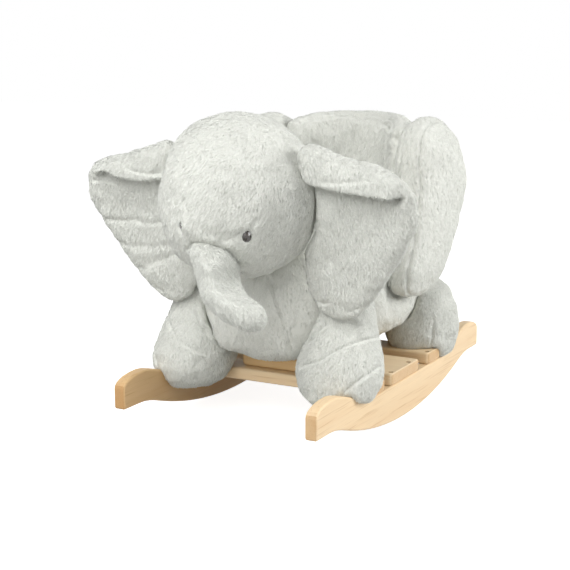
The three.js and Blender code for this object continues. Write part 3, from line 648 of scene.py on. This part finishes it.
def metal_finish(name):
    """Dull zinc on the screws, with fine turning marks."""
    tones = ((0.3, (0.08, 0.06, 0.045)), (0.7, (0.15, 0.12, 0.09)))
    return clouded(name, (900, 3), tones, Metallic=0.7, Roughness=0.42).material


def bead_finish(name):
    """Glossy dark brown plastic with a faint cloud in it."""
    tones = ((0.3, (0.012, 0.009, 0.007)), (0.7, (0.035, 0.024, 0.016)))
    return clouded(name, (220, 2), tones, Roughness=0.06, Coat_Weight=0.6, Coat_Roughness=0.05).material


def washer_finish(name):
    """Pale translucent-looking plastic, slightly scuffed."""
    tones = ((0.3, (0.6, 0.6, 0.57)), (0.7, (0.75, 0.75, 0.72)))
    return clouded(name, (500, 3), tones, Roughness=0.4).material


FINISHES = {
    "plush": (plush_finish,),
    "pile": (pile_finish,),
    "beech_lengthwise": (beech_finish, 1),
    # The far rocker's beech is darker and browner: painted shade on the board whose inner face lies in
    # shadow.
    "beech_far": (beech_finish, 1, (0.85, 0.75, 0.61)),
    "beech_across": (beech_finish, 0),
    # The middle board's beech is paler: painted light on a top that the body shades.
    "beech_pale": (beech_finish, 0, (1.08, 1.12, 1.18)),
    # The panels' beech is warmer: painted warm bounced light on panels that sit in the shade under the body.
    "beech_warm": (beech_finish, 0, (1.06, 0.98, 0.8)),
    "beech_upright": (beech_finish, 2),
    "plywood_flat": (plywood_finish, 2),
    "plywood_back": (plywood_finish, 1),
    "plywood_side": (plywood_finish, 0),
    "screw_metal": (metal_finish,),
    "eye_bead": (bead_finish,),
    "eye_washer": (washer_finish,),
}


# Settings


class PlushSettings(bpy.types.PropertyGroup):
    """Colours and pile of the plush"""

    pale: bpy.props.FloatVectorProperty(
        name="Pale", description="Lit colour of the plush", subtype="COLOR", size=3, min=0, max=1,
        default=(0.87, 0.885, 0.83),
    )
    deep: bpy.props.FloatVectorProperty(
        name="Deep", description="Darker blotches of the plush", subtype="COLOR", size=3, min=0, max=1,
        default=(0.77, 0.785, 0.72),
    )
    pile_length: bpy.props.FloatProperty(
        name="Pile length", description="Length of the tufts against their usual length", default=1, min=0.3,
        max=2,
    )
    pile_density: bpy.props.FloatProperty(
        name="Pile density", description="Number of tufts against the usual number", default=1, min=0.05,
        max=2,
    )


class WoodSettings(bpy.types.PropertyGroup):
    """Colours and edges of the beech"""

    light: bpy.props.FloatVectorProperty(
        name="Light", description="Light bands of the beech", subtype="COLOR", size=3, min=0, max=1,
        default=(0.86, 0.66, 0.42),
    )
    dark: bpy.props.FloatVectorProperty(
        name="Dark", description="Dark bands of the beech", subtype="COLOR", size=3, min=0, max=1,
        default=(0.76, 0.55, 0.33),
    )
    edge: bpy.props.FloatProperty(
        name="Edge", description="Rounding of the boards' edges", subtype="DISTANCE", unit="LENGTH",
        default=0.0011, min=0.0003, max=0.0013,
    )


class StageSettings(bpy.types.PropertyGroup):
    """Lamps and camera"""

    lamp: bpy.props.FloatProperty(
        name="Lamp", description="Power of the main lamp", subtype="POWER", unit="POWER", default=42, min=0
    )
    sky: bpy.props.FloatProperty(
        name="Sky", description="Strength of the even light from all round", default=0.26, min=0
    )
    lens: bpy.props.FloatProperty(
        name="Lens", description="Camera lens", subtype="DISTANCE_CAMERA", unit="CAMERA", default=82.105,
        min=10,
    )


# Operators


class ELEPHANT_OT_stage(bpy.types.Operator):
    """Sets the camera, the lamps, the white surroundings and the pale floor"""

    bl_idname = "elephant.stage"
    bl_label = "Stage"

    def execute(self, context):
        scene = context.scene
        settings = scene.elephant_stage
        scene.view_settings.view_transform = "Standard"

        camera = linked("camera", bpy.data.cameras.new("camera"))
        camera.location = place(VIEW_PLACE)
        camera.rotation_euler = Vector(towards_camera()).to_track_quat("Z", "Y").to_euler()
        camera.data.lens = settings.lens
        camera.data.sensor_width = 36
        scene.camera = camera

        world = bpy.data.worlds.new("surroundings")
        scene.world = world
        world.use_nodes = True
        tree = world.node_tree
        light = tree.nodes["Background"]
        seen = tree.nodes.new("ShaderNodeBackground")
        for node, strength in ((light, settings.sky), (seen, 1)):
            node.inputs["Color"].default_value = (1, 1, 1, 1)
            node.inputs["Strength"].default_value = strength
        self.show_white(tree, light.outputs[0], seen.outputs[0], tree.nodes["World Output"])

        floor_points = np.array([[-6, -6, 0], [6, -6, 0], [6, 6, 0], [-6, 6, 0]], float)
        floor = new_piece("floor", floor_points, np.array([[0, 1, 2, 3]]), self.floor_finish())

        # Each lamp's place in millimetres, its size in metres and its share of the main lamp's power.
        for name, spot, size, share in (
            ("lamp_front_high", (50, -1850, 2000), 2.0, 1.02),
            ("lamp_right_rear", (2300, 900, 1200), 1.8, 1.38),
            ("lamp_front_low", (200, -2450, 900), 1.8, 0.24),
            ("lamp_left_front", (-1700, -1700, 1200), 1.8, 0.3),
        ):
            data = bpy.data.lights.new(name, "AREA")
            data.shape = "DISK"
            data.size = size
            data.energy = settings.lamp * share
            lamp = linked(name, data)
            lamp.location = place(spot)
            aim = Vector(place([0, 0, 200])) - lamp.location
            lamp.rotation_euler = aim.to_track_quat("-Z", "Y").to_euler()
        return {"FINISHED"}

    def show_white(self, tree, plain, white, output):
        """Mixes in the white shader for rays that come from the camera, a gloss or a clear material."""
        path = tree.nodes.new("ShaderNodeLightPath")
        seen = path.outputs["Is Camera Ray"]
        for ray in ("Is Glossy Ray", "Is Transmission Ray"):
            either = tree.nodes.new("ShaderNodeMath")
            either.operation = "MAXIMUM"
            tree.links.new(seen, either.inputs[0])
            tree.links.new(path.outputs[ray], either.inputs[1])
            seen = either.outputs[0]
        mix = tree.nodes.new("ShaderNodeMixShader")
        for source, socket in ((seen, 0), (plain, 1), (white, 2)):
            tree.links.new(source, mix.inputs[socket])
        tree.links.new(mix.outputs[0], output.inputs["Surface"])

    def floor_finish(self):
        """A pale matt floor that looks white where no shadow falls."""
        paper = clouded(
            "floor_paper", (3, 2), ((0.3, (0.57, 0.57, 0.56)), (0.7, (0.59, 0.59, 0.58))),
            Roughness=1, Specular_IOR_Level=0,
        )
        tree, plain = paper.tree, paper.shader.outputs[0]
        glow = paper.node("ShaderNodeEmission")
        paper.feed(glow, Color=(1, 1, 1, 1), Strength=0.88)
        both = paper.node("ShaderNodeAddShader")
        tree.links.new(plain, both.inputs[0])
        tree.links.new(glow.outputs[0], both.inputs[1])
        self.show_white(tree, plain, both.outputs[0], tree.nodes["Material Output"])
        return paper.material


class ELEPHANT_OT_frame(bpy.types.Operator):
    """Gives the rockers, boards and grip bar their beech or plywood, with rounded edges"""

    bl_idname = "elephant.frame"
    bl_label = "Beech frame"

    WOOD = {
        "rocker_left": "beech_lengthwise",
        # The far rocker gets the beech with painted shade.
        "rocker_right": "beech_far",
        "front_rail": "beech_across",
        # The middle board gets the beech with painted light.
        "middle_board": "beech_pale",
        "rear_rail": "beech_across",
        # The front and rear panels get the beech with painted light.
        "front_panel": "beech_warm",
        "rear_panel": "beech_warm",
        "box_side_left": "beech_lengthwise",
        "box_side_right": "beech_lengthwise",
        "neck_cleat_left": "beech_upright",
        "neck_cleat_right": "beech_upright",
        "grip_bar": "beech_across",
        "seat_board": "plywood_flat",
        "back_board": "plywood_back",
        "wing_board_left": "plywood_side",
        "wing_board_right": "plywood_side",
        "neck_board": "plywood_side",
    }

    HOLED = ("front_rail", "middle_board", "rear_rail")
    SHARP = np.radians(40)
    SCREW_CLEARANCE = 7 * MM

    def execute(self, context):
        for name, wood in self.WOOD.items():
            if name in self.HOLED:
                piece = self.board_with_holes(name)
            else:
                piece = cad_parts[name]
                piece.modifiers.new("Joined", "WELD").merge_threshold = 1e-5
                flat = piece.modifiers.new("Flat faces", "DECIMATE")
                flat.decimate_type = "DISSOLVE"
                flat.angle_limit = np.radians(1)
            piece.data.materials.clear()
            piece.data.materials.append(finish(wood))
            bevel = piece.modifiers.new("Rounded", "BEVEL")
            bevel.width = context.scene.elephant_wood.edge
            bevel.segments = 3
            bevel.limit_method = "WEIGHT" if name in self.HOLED else "ANGLE"
            bevel.angle_limit = self.SHARP
            bevel.use_clamp_overlap = False
        return {"FINISHED"}

    def board_with_holes(self, name):
        """A copy of a board with its triangles joined and its sharp edges marked for the bevel, but not those
        of its screw holes."""
        screws = [np.mean(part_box(screw), axis=0)[:2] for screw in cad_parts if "screw" in screw]
        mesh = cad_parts[name].data.copy()
        work = joined(mesh, 1e-5)
        marks = work.edges.layers.float.new("bevel_weight_edge")
        for edge in work.edges:
            middle = np.array((edge.verts[0].co + edge.verts[1].co)[:2]) / 2
            clear = min(np.linalg.norm(middle - screw) for screw in screws) > self.SCREW_CLEARANCE
            edge[marks] = float(clear and edge.calc_face_angle(0) > self.SHARP)
        work.to_mesh(mesh)
        work.free()
        board = linked(f"{name}_eased", mesh)
        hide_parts(name)
        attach(board, "frame_and_body")
        return board


class ELEPHANT_OT_fixings(bpy.types.Operator):
    """Gives the screws, eyes and eye washers their finishes"""

    bl_idname = "elephant.fixings"
    bl_label = "Screws and eyes"

    def execute(self, context):
        for name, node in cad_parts.items():
            kind = (
                "screw_metal" if "screw" in name
                else "eye_washer" if "washer" in name
                else "eye_bead" if name.startswith("eye_")
                else None
            )
            if kind is None:
                continue
            node.data.materials.clear()
            node.data.materials.append(finish(kind))
        return {"FINISHED"}


def eye_place(side):
    """The middle of an eye bead, in millimetres about the toy's own middle."""
    low, high = (np.array(corner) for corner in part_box(f"eye_{side}"))
    return (low + high) / 2 / MM - np.array([0, SHIFT / MM, 0])


# The line on the head where the trunk is sewn on, from its left end in the picture to its right.
TRUNK_SEAM = [
    (-22.3, -318.9, 283.1), (-8.6, -325.7, 291.9), (3.7, -328.2, 295.2), (13.6, -327.0, 295.1),
    (21.3, -324.8, 292.8), (28.5, -321.8, 290.3), (35.7, -316.4, 286.2), (40.8, -309.9, 279.0),
    (43.3, -301.5, 270.0), (40.7, -286.9, 256.7),
]
# The ball of the head.
HEAD_MIDDLE = (0, -225, 345.5)
HEAD_RADIUS = 113


class ELEPHANT_OT_head(bpy.types.Operator):
    """Makes the head's skin and pile"""

    bl_idname = "elephant.head"
    bl_label = "Head"

    def execute(self, context):
        near, far = eye_place("left"), eye_place("right")
        creases = [
            (
                [(66.3, -311.0, 309.9), (69.2, -310.9, 315.3), (72.5, -310.2, 320.6), (76.5, -307.2, 327)],
                2.8, 2.1, 0.2,
            ),
            ([(-28.2, -332.7, 319.0), (-25.1, -330.5, 313.7), (-22.9, -329.4, 305.8)], 2.4, 3.0, 0),
            (
                [(34.2, -323.7, 297.6), (42, -321.6, 300.5), (50, -319.9, 304.8), (57.6, -317.7, 310.2)],
                4, 1.6, 0.2,
            ),
            (TRUNK_SEAM, 4.5, 3.5, 0.7),
        ]
        skin = sew("head", "head_skin", creases, seed=3, most=0.004)
        # A dip round each bead, a lid over the far one, cheeks flattened beside the ears, and a dimple over
        # the trunk.
        swell(
            skin.data,
            [
                (near, 16, 1.2),
                (near, 9, -7.5),
                (far, 14, 2.5),
                (far, 6, -2.5),
                (far + (7, -4, 0), 9, 6.5),
                ([(-97, -278, 385), (-99.5, -278.5, 345), (-95, -280, 300)], 34, -13),
                ([(97, -278, 385), (99.5, -278.5, 345), (95, -280, 300)], 34, -8),
                ([(17.8, -330.9, 309.1), (35.4, -325.5, 304.4)], 10, -2.6),
                ((4, -333, 305), 12, 1.6),
            ],
        )
        cover(
            skin, "head_pile", comb(-0.45, -0.3, -1), seed=5, most=54400, tangle=0.09,
            behind=("ear_left", "ear_right", "body"), bare=((near, 9.4),),
        )
        return {"FINISHED"}


class ELEPHANT_OT_ears(bpy.types.Operator):
    """Makes both ears: the top edge folds forward as a lip"""

    bl_idname = "elephant.ears"
    bl_label = "Ears"

    # Height of the lip's lower edge by distance from the middle of the toy.
    LIP = {
        "left": (
            (95, 113, 125, 144, 165, 187, 208, 225, 238, 262),
            (374, 370, 367, 364, 362, 360, 358.5, 356, 352, 346),
        ),
        "right": (
            (95, 113, 124, 133, 147, 164, 177, 190, 200, 209, 224, 238, 262),
            (366, 364, 362.5, 361, 359.5, 360, 361, 363, 367, 371, 368, 360, 350),
        ),
    }
    # The middle and half width of the pocket under the lip.
    POCKET = {"left": (172, 60), "right": (196, 24)}
    # How far the top edge drops on each side.
    DROP = {"left": -8, "right": -2}
    # The ear's middle in x and z, the height at which it starts, and its own height.
    MIDDLE = (164.2, 300.3)
    FOOT, HEIGHT = 175, 241
    # The ear's dished middle sheet in y: the rim's top, and how much further back its foot and middle are.
    RIM_TOP, FOOT_BACK, DISH = -228, 50, 16
    # How far the top edge leans back, the roof over the lip's line stands out, its edge hangs down, and the
    # rise from the lip's lower edge to that line.
    LEAN, ROOF, HANG, RISE = 22, 16, 12, 7
    # The seams over the lips, as (x, z).
    SEAM = {
        "left": [(138, 373), (161, 374), (184, 377), (198, 379), (213, 379), (231, 376), (243, 373)],
        "right": [(-203, 388), (-186, 387.5), (-174, 378.6), (-161, 373.5), (-137, 370.5), (-114, 371.7)],
    }
    # The seam along the left ear's rim, and each ear's folds as (line, reach, depth, pucker).
    RIM = [
        (241, -225, 372), (250, -222, 362), (253, -219, 348), (251.6, -215, 328), (247.4, -211, 308),
        (239, -206, 287), (230, -201, 270), (218, -195, 250), (207, -193, 236), (192, -191, 218),
        (174, -188, 202), (150, -188, 192),
    ]
    FOLDS = {
        "left": [
            (
                [
                    (101.4, -188.2, 201.3), (115.3, -188.5, 201.4), (124.7, -189.2, 206.6),
                    (131.1, -189.9, 211.6),
                ],
                2.6, 2.2, 0.3,
            ),
            ([(132, -199, 265), (160, -199, 275), (190, -203, 300)], 9, 1.6, 0),
        ],
        "right": [
            ([(-243.1, -219.9, 352.7), (-224.0, -219.4, 353.7), (-208.2, -219.3, 350.0)], 4, 2.6, 0),
            ([(-238.5, -217.1, 341.1), (-222.0, -215.4, 339.0), (-205.2, -214.3, 339.8)], 3, 1.6, 0.4),
            (
                [
                    (-229, -208, 296), (-209.2, -205.7, 294.9), (-184.4, -203.5, 296.3),
                    (-159.2, -202.2, 295.0), (-120, -205, 299),
                ],
                5, 3.7, 0.2,
            ),
            (
                [
                    (-217.5, -200.6, 259.6), (-197.0, -199.4, 258.1), (-172.6, -196.7, 258.2),
                    (-146.8, -196.4, 260.2), (-110, -200, 269),
                ],
                6, 3.3, 0.2,
            ),
            (
                [
                    (-184.7, -193.2, 224.1), (-158.2, -193.0, 235.3), (-130.7, -195.1, 246.8),
                    (-106, -198.4, 256),
                ],
                7, 2.6, 0,
            ),
        ],
    }

    def execute(self, context):
        for side, sign in zip(SIDES, (1, -1)):
            rim = self.RIM if sign > 0 else mirrored(self.RIM)
            skin = sew(
                f"ear_{side}", f"ear_{side}_skin", voxel=0.004, rounds=2, inset=0.001, most=0.003,
                lumps=0.001, seed=7,
            )
            self.fold_lip(skin.data, side)
            creases = [(rim, 3.0, 2.2, 0.2), *self.FOLDS[side]]
            stitch(skin.data, metres(creases))
            self.seam_over_lip(skin.data, side)
            swell(skin.data, [((104 * sign, -232, 405), 16, 6)])
            pile = grow_pile(
                skin, f"ear_{side}_pile", comb(0.25 * sign, 0, -1), seed=9, most=34500, behind=("head",)
            )
            for piece in (skin, pile):
                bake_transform(piece)
        return {"FINISHED"}

    def seam_over_lip(self, mesh, side):
        """Pulls the front in along the seam over the lip, by its distance in the plane of x and z. The near
        ear's seam fades towards the tip."""
        flat = np.array([1, 0, 1])
        line = rounded(place([(x, 0, z) for x, z in self.SEAM[side]])) * flat

        def strength(points, normals):
            return ease(-normals[:, 1], 0.0, 0.4) * (1 - 0.7 * ease(points[:, 0] / MM, 180, 225))

        pinch(mesh, lambda points: path_distance(points * flat, line)[0] / MM, strength, 3.2, 1.5)

    def reach_to_rim(self, across, up):
        """Each point's way from the ear's middle as a share of the rim's in that direction."""
        angle, reach = np.arctan2(up, across), np.hypot(up, across)
        bins = np.linspace(-np.pi, np.pi, 73)
        rim = np.zeros(len(bins) - 1)
        np.maximum.at(rim, np.clip(np.digitize(angle, bins) - 1, 0, len(rim) - 1), reach)
        return reach / np.interp(angle, (bins[1:] + bins[:-1]) / 2, rim, period=2 * np.pi)

    def fold_lip(self, mesh, side):
        """The top edge leans back by lean * fold^2, with fold from 0 at four fifths of the ear's height to 1
        at the top, and the front steps out at the lip's line. Let s be the height above that line in mm.
        Below it the front sinks as a pocket, by (4 + 9 d) * exp(s / 12) + (6 + 18 d) * exp(-(s / 9)^2) mm,
        where d is exp(-(way from the pocket's middle / its width)^4). Above it a roof stands out by
        roof * (1 - s / 60), rounded over its first 8 mm, whose edge hangs down by
        hang * (s / 6) * exp(1 - s / 6). The back gives way by 0.55 of the pocket, and the crest is calmed."""
        x, y, z = ((points_of(mesh) - place([0, 0, 0])) / MM).T
        pocket_middle, pocket_width = self.POCKET[side]
        out = np.abs(x)
        up = (z - self.FOOT) / self.HEIGHT
        fold = np.clip((up - 0.8) / 0.2, 0, 1)
        share = np.minimum(self.reach_to_rim(out - self.MIDDLE[0], z - self.MIDDLE[1]), 1)
        middle = self.RIM_TOP + self.FOOT_BACK * (1 - up) + self.DISH * (1 - share**2) - self.LEAN * fold**2
        front = ease(middle - y, -3, 6)
        band = ease(out, 86, 100) * (1 - ease(out, 226, 246))
        s = z - np.interp(out, *self.LIP[side]) - self.RISE
        below, above = np.minimum(s, 0), np.maximum(s, 0)
        edge = np.sqrt(np.clip(1 - ((np.minimum(s, 8) - 8) / 8) ** 2, 0, 1))
        deep = np.exp(-(((out - pocket_middle) / pocket_width) ** 4))
        pocket = (4 + 9 * deep) * np.exp(below / 12) + (6 + 18 * deep) * dip(below, 9)
        forward = np.where(s < 0, -pocket, self.ROOF * np.clip(1 - s / 60, 0, 1) * edge)
        behind = 0.55 * pocket * np.exp(-above / 12) * (1 - front)
        hang = self.HANG * (above / 6) * np.exp(1 - above / 6)
        y = y + self.LEAN * fold**2 + (behind - forward * front) * band
        z = z - self.DROP[side] * fold**2 - hang * front * band
        points = place(np.stack([x, y, z], axis=1))
        crest = ease(s, 14, 26)[:, None]
        move_points(mesh, points + (calm(points, edges_of(mesh), 12) - points) * crest)


class ELEPHANT_OT_trunk(bpy.types.Operator):
    """Makes the trunk, which grows out of the head along its seam"""

    bl_idname = "elephant.trunk"
    bl_label = "Trunk"

    # How far the root stands off the head inside its seam, over what distance, and its slope further in.
    STAND, OVER, SLOPE = 26, 14, 0.35
    # Where the trunk leaves the head.
    ROOT_MIDDLE = (12, -318, 262)

    def execute(self, context):
        skin = sew(
            "trunk", "trunk_skin", voxel=0.004, rounds=4, inset=0.001, most=0.003, lumps=0.0009, seed=15
        )
        self.press_root(skin.data)
        pile = grow_pile(skin, "trunk_pile", comb(0.1, 0.1, -1), seed=17, most=16000)
        for piece in (skin, pile):
            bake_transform(piece)
        return {"FINISHED"}

    def turn_from_below(self, away):
        """The direction of each vector seen from the camera, as an angle from straight down by way of the
        left."""
        return (np.arctan2(away[:, 1], -away[:, 0]) + np.pi / 2) % (2 * np.pi)

    def press_root(self, mesh):
        """Pushes the root away from the camera till it stands off the head's ball by no more than
        stand * (1 - exp(-t / over)) + slope * t mm, where t is how far the point lies inside the seam line,
        seen from the camera. Outside the line it sinks into the head. The push fades out further down the
        trunk."""
        back = towards_camera()
        right = np.array([np.cos(VIEW_AROUND), np.sin(VIEW_AROUND), 0])
        flat = np.stack([right, np.cross(back, right)], axis=1)
        seam = np.array(TRUNK_SEAM) @ flat
        middle = np.array([self.ROOT_MIDDLE]) @ flat
        turn = self.turn_from_below(seam - middle)
        order = np.argsort(turn)
        points = (points_of(mesh) - place([0, 0, 0])) / MM
        away = points @ flat - middle
        below = np.clip(-away[:, 1], 0, None)
        way = np.linalg.norm(seam - middle, axis=1)[order]
        reach = np.interp(self.turn_from_below(away), turn[order], way)
        inside = reach - np.linalg.norm(away, axis=1) + 1.25 * below**2 / (below + 8)
        stand = self.STAND * (1 - np.exp(-np.maximum(inside, 0) / self.OVER)) + self.SLOPE * inside
        allowed = np.where(inside < 0, 1.2 * inside, stand)
        share = (1 - ease(inside, 18, 46)) * ease(points[:, 2], 226, 256)
        pushed = points
        for _ in range(4):
            from_middle = pushed - HEAD_MIDDLE
            proud = np.linalg.norm(from_middle, axis=1) - HEAD_RADIUS - allowed
            slope = np.maximum(unit(from_middle) @ back, 0.35)
            pushed = pushed - back * np.clip(proud / slope, 0, 12)[:, None]
        points = points + calm((pushed - points) * share[:, None], edges_of(mesh), 4)
        neck = dip(points[:, 2] - 252, 20)[:, None]
        points = points + (calm(points, edges_of(mesh), 30) - points) * neck
        move_points(mesh, place(points))


class ELEPHANT_OT_body(bpy.types.Operator):
    """Makes the chest and belly with their pile"""

    bl_idname = "elephant.body"
    bl_label = "Body"

    # The left one of the two seams on the chest.
    CHEST = [
        (30, -199.5, 240), (32.7, -199.3, 230.3), (38.6, -198.7, 219.5), (45, -199, 200.5),
        (52.8, -196, 175.3), (57.1, -189.4, 151.6), (58, -176, 128),
    ]

    def execute(self, context):
        seams = [(path, 2.4, 3.4, 0.4) for path in (self.CHEST, mirrored(self.CHEST))]
        skin = sew("body", "body_skin", seams, voxel=0.0055, seed=21)
        swell(skin.data, [((-54, -176, 122), 22, 8), ((54, -176, 122), 22, 8), ((0, -178, 108), 34, -4)])
        pinch(
            skin.data,
            lambda points: points[:, 0] / MM,
            lambda points, normals: ease(points[:, 1], 0.19, 0.22),
            depth=2.2,
        )
        cover(
            skin, "body_pile", comb(0, 0.25, -1), seed=25, most=53000,
            behind=(
                "head", "front_leg_left", "front_leg_right", "rear_leg_left", "rear_leg_right", "wing_left",
                "wing_right", "backrest", "seat_pad", "seat_board", "box_side_left", "box_side_right",
                "front_panel", "rear_panel",
            ),
        )
        return {"FINISHED"}


class ELEPHANT_OT_legs(bpy.types.Operator):
    """Makes the four legs with the seams round their feet"""

    bl_idname = "elephant.legs"
    bl_label = "Legs"

    # The seams of the left legs, as (line, reach, depth, pucker).
    SEAMS = {
        "front": [
            (
                [
                    (75.1, -190.6, 106.8), (98.7, -200.2, 117.8), (114.6, -201.3, 124.2),
                    (128.6, -192.9, 133.9), (142.8, -181.6, 142.9), (157.3, -164.7, 147.9),
                    (166, -144.1, 148.8), (168, -122, 146),
                ],
                2.4, 2.6, 0.5,
            ),
            (
                [
                    (148, -207, 74), (153.2, -202, 83), (158.1, -196.9, 89.4), (166.2, -188.6, 98.2),
                    (172.5, -176.7, 103.2), (178.6, -160.6, 108.6), (180, -135.1, 109.8),
                ],
                3.0, 3.4, 1.0,
            ),
            (
                [(109.7, -176.9, 167.7), (100, -179, 158.5), (90.1, -180.7, 147.9), (80.9, -177.9, 140.5)],
                3, 3, 0.3,
            ),
        ],
        "rear": [
            (
                [(156, 113, 122), (155.5, 108.9, 106.3), (154.7, 107.3, 93.7), (152.2, 105.9, 78)],
                2.6, 3.0, 0.6,
            ),
        ],
    }

    # The boards that no tuft of the feet grows into.
    BOARDS = ("rocker_left", "rocker_right", "front_rail", "middle_board", "rear_rail")

    def execute(self, context):
        for end, seams in self.SEAMS.items():
            for side, sign in zip(SIDES, (1, -1)):
                node = f"{end}_leg_{side}"
                lines = seams if sign > 0 else [(mirrored(path), *sizes) for path, *sizes in seams]
                skin = sew(node, f"{node}_skin", lines, seed=31 + len(node), most=0.005)
                if end == "rear":
                    swell(skin.data, [((106 * sign, 97, 80), 30, 9), ((92 * sign, 104, 120), 28, 5)])
                cover(
                    skin, f"{node}_pile", comb(0, -0.1, -1), seed=35, most=24000,
                    behind=("body", f"wing_{side}", *self.BOARDS),
                )
        return {"FINISHED"}


class ELEPHANT_OT_seat(bpy.types.Operator):
    """Makes the backrest, the wings beside it and the seat pad, with the seams along their bands"""

    bl_idname = "elephant.seat"
    bl_label = "Seat"

    # The inner seam of the backrest's top band.
    BAND = [
        (-106, 108.9, 421.3), (-95.3, 142.2, 427.7), (-54, 165.4, 434.1), (-2.4, 169.8, 427.5),
        (52.1, 146.1, 418.2), (90.6, 105.5, 399.3), (96, 105.3, 381.1), (90.7, 103.3, 356.4),
    ]

    def execute(self, context):
        self.backrest()
        for side, sign in zip(SIDES, (1, -1)):
            self.wing(side, sign)
        pad = sew("seat_pad", "seat_pad_skin", seed=47, most=0.004)
        pinch(
            pad.data,
            lambda points: points[:, 2] / MM - 229,
            lambda points, normals: 1 - np.abs(normals[:, 2]),
            2.2,
            2.2,
        )
        self.dress(pad, "seat_pad_pile", 17500, "backrest", "wing_left", "wing_right", "body", "seat_board")
        rim = sew("seat_board", "seat_rim_skin", voxel=0.0065, seed=49, most=0.002, rounds=2, over=True)
        swell(rim.data, [((0, 40, 199), EVERYWHERE, 4.5)])
        self.dress(
            rim, "seat_rim_pile", 16000, "backrest", "wing_left", "wing_right", "body", "seat_pad", "head"
        )
        return {"FINISHED"}

    def backrest(self):
        """The tub wall: a seam inside its top band, two seams round the hub of the tub, and a fuller foot
        behind."""
        seams = [(self.BAND, 4, 3.2, 0.4)]
        rest = sew("backrest", "backrest_skin", seams, voxel=0.006, seed=41, most=0.004)
        hub = place([0, 94, 0])
        for radius, depth in ((80, 3.0), (111, 2.4)):
            pinch(
                rest.data,
                lambda points, radius=radius: np.linalg.norm((points - hub)[:, :2], axis=1) / MM - radius,
                lambda points, normals: ease(normals[:, 2], 0.05, 0.4),
                2.4,
                depth,
            )
        swell(rest.data, [([(-64, 197, 212), (0, 208, 212), (64, 197, 212)], 16, 7)])
        self.dress(
            rest, "backrest_pile", 32500, "wing_left", "wing_right", "seat_pad", "body", "back_board",
            "seat_board",
        )

    def wing(self, side, sign):
        """A side panel: a round pillow with two wavy seams along its edge band."""
        node = f"wing_{side}"
        wing = sew(node, f"{node}_skin", seed=43, most=0.004, rounds=40)
        swell(wing.data, [((160 * sign, 120, 300), EVERYWHERE, 4.5)])
        for out, depth in ((151, 3.2), (120, 2.4)):
            pinch(
                wing.data,
                lambda points, out=out: np.abs(points[:, 0]) / MM - out - 1.5 * ripple(points, 0.05, 44),
                lambda points, normals: 1 - ease(np.abs(normals[:, 0]), 0.85, 0.99),
                2.2,
                depth,
            )
        swell(
            wing.data,
            [
                ((160 * sign, 120, 300), 75, 5),
                ((160 * sign, 130, 215), 45, 3),
                ((150 * sign, 222, 330), 60, 4),
            ],
        )
        self.dress(
            wing, f"{node}_pile", 37500, "backrest", "seat_pad", "body", f"wing_board_{side}",
            f"rear_leg_{side}",
        )

    def dress(self, skin, name, most, *behind):
        """The seat's pile."""
        cover(skin, name, comb(0, 0.1, -1), seed=45, most=most, behind=behind)


class ELEPHANT_PT_panel(bpy.types.Panel):
    """Lists the pieces of the elephant"""

    bl_idname = "ELEPHANT_PT_panel"
    bl_label = "Rocking elephant"
    bl_space_type = "VIEW_3D"
    bl_region_type = "UI"
    bl_category = "Elephant"

    def draw(self, context):
        scene = context.scene
        for group in (scene.elephant_plush, scene.elephant_wood, scene.elephant_stage):
            box = self.layout.box()
            for key in group.__annotations__:
                box.prop(group, key)
        for operator in OPERATORS:
            self.layout.operator(operator.bl_idname)


SETTINGS = (PlushSettings, WoodSettings, StageSettings)
OPERATORS = (
    ELEPHANT_OT_stage,
    ELEPHANT_OT_head,
    ELEPHANT_OT_ears,
    ELEPHANT_OT_trunk,
    ELEPHANT_OT_body,
    ELEPHANT_OT_legs,
    ELEPHANT_OT_seat,
    ELEPHANT_OT_frame,
    ELEPHANT_OT_fixings,
)


def register():
    for each in (*SETTINGS, *OPERATORS, ELEPHANT_PT_panel):
        bpy.utils.register_class(each)
    bpy.types.Scene.elephant_plush = bpy.props.PointerProperty(type=PlushSettings)
    bpy.types.Scene.elephant_wood = bpy.props.PointerProperty(type=WoodSettings)
    bpy.types.Scene.elephant_stage = bpy.props.PointerProperty(type=StageSettings)


def unregister():
    for name in ("elephant_plush", "elephant_wood", "elephant_stage"):
        delattr(bpy.types.Scene, name)
    for each in reversed((*SETTINGS, *OPERATORS, ELEPHANT_PT_panel)):
        bpy.utils.unregister_class(each)


def main():
    """Makes every piece in order."""
    register()
    for piece in ("stage", "head", "ears", "trunk", "body", "legs", "seat", "frame", "fixings"):
        getattr(bpy.ops.elephant, piece)()


if __name__ == "__main__":
    main()
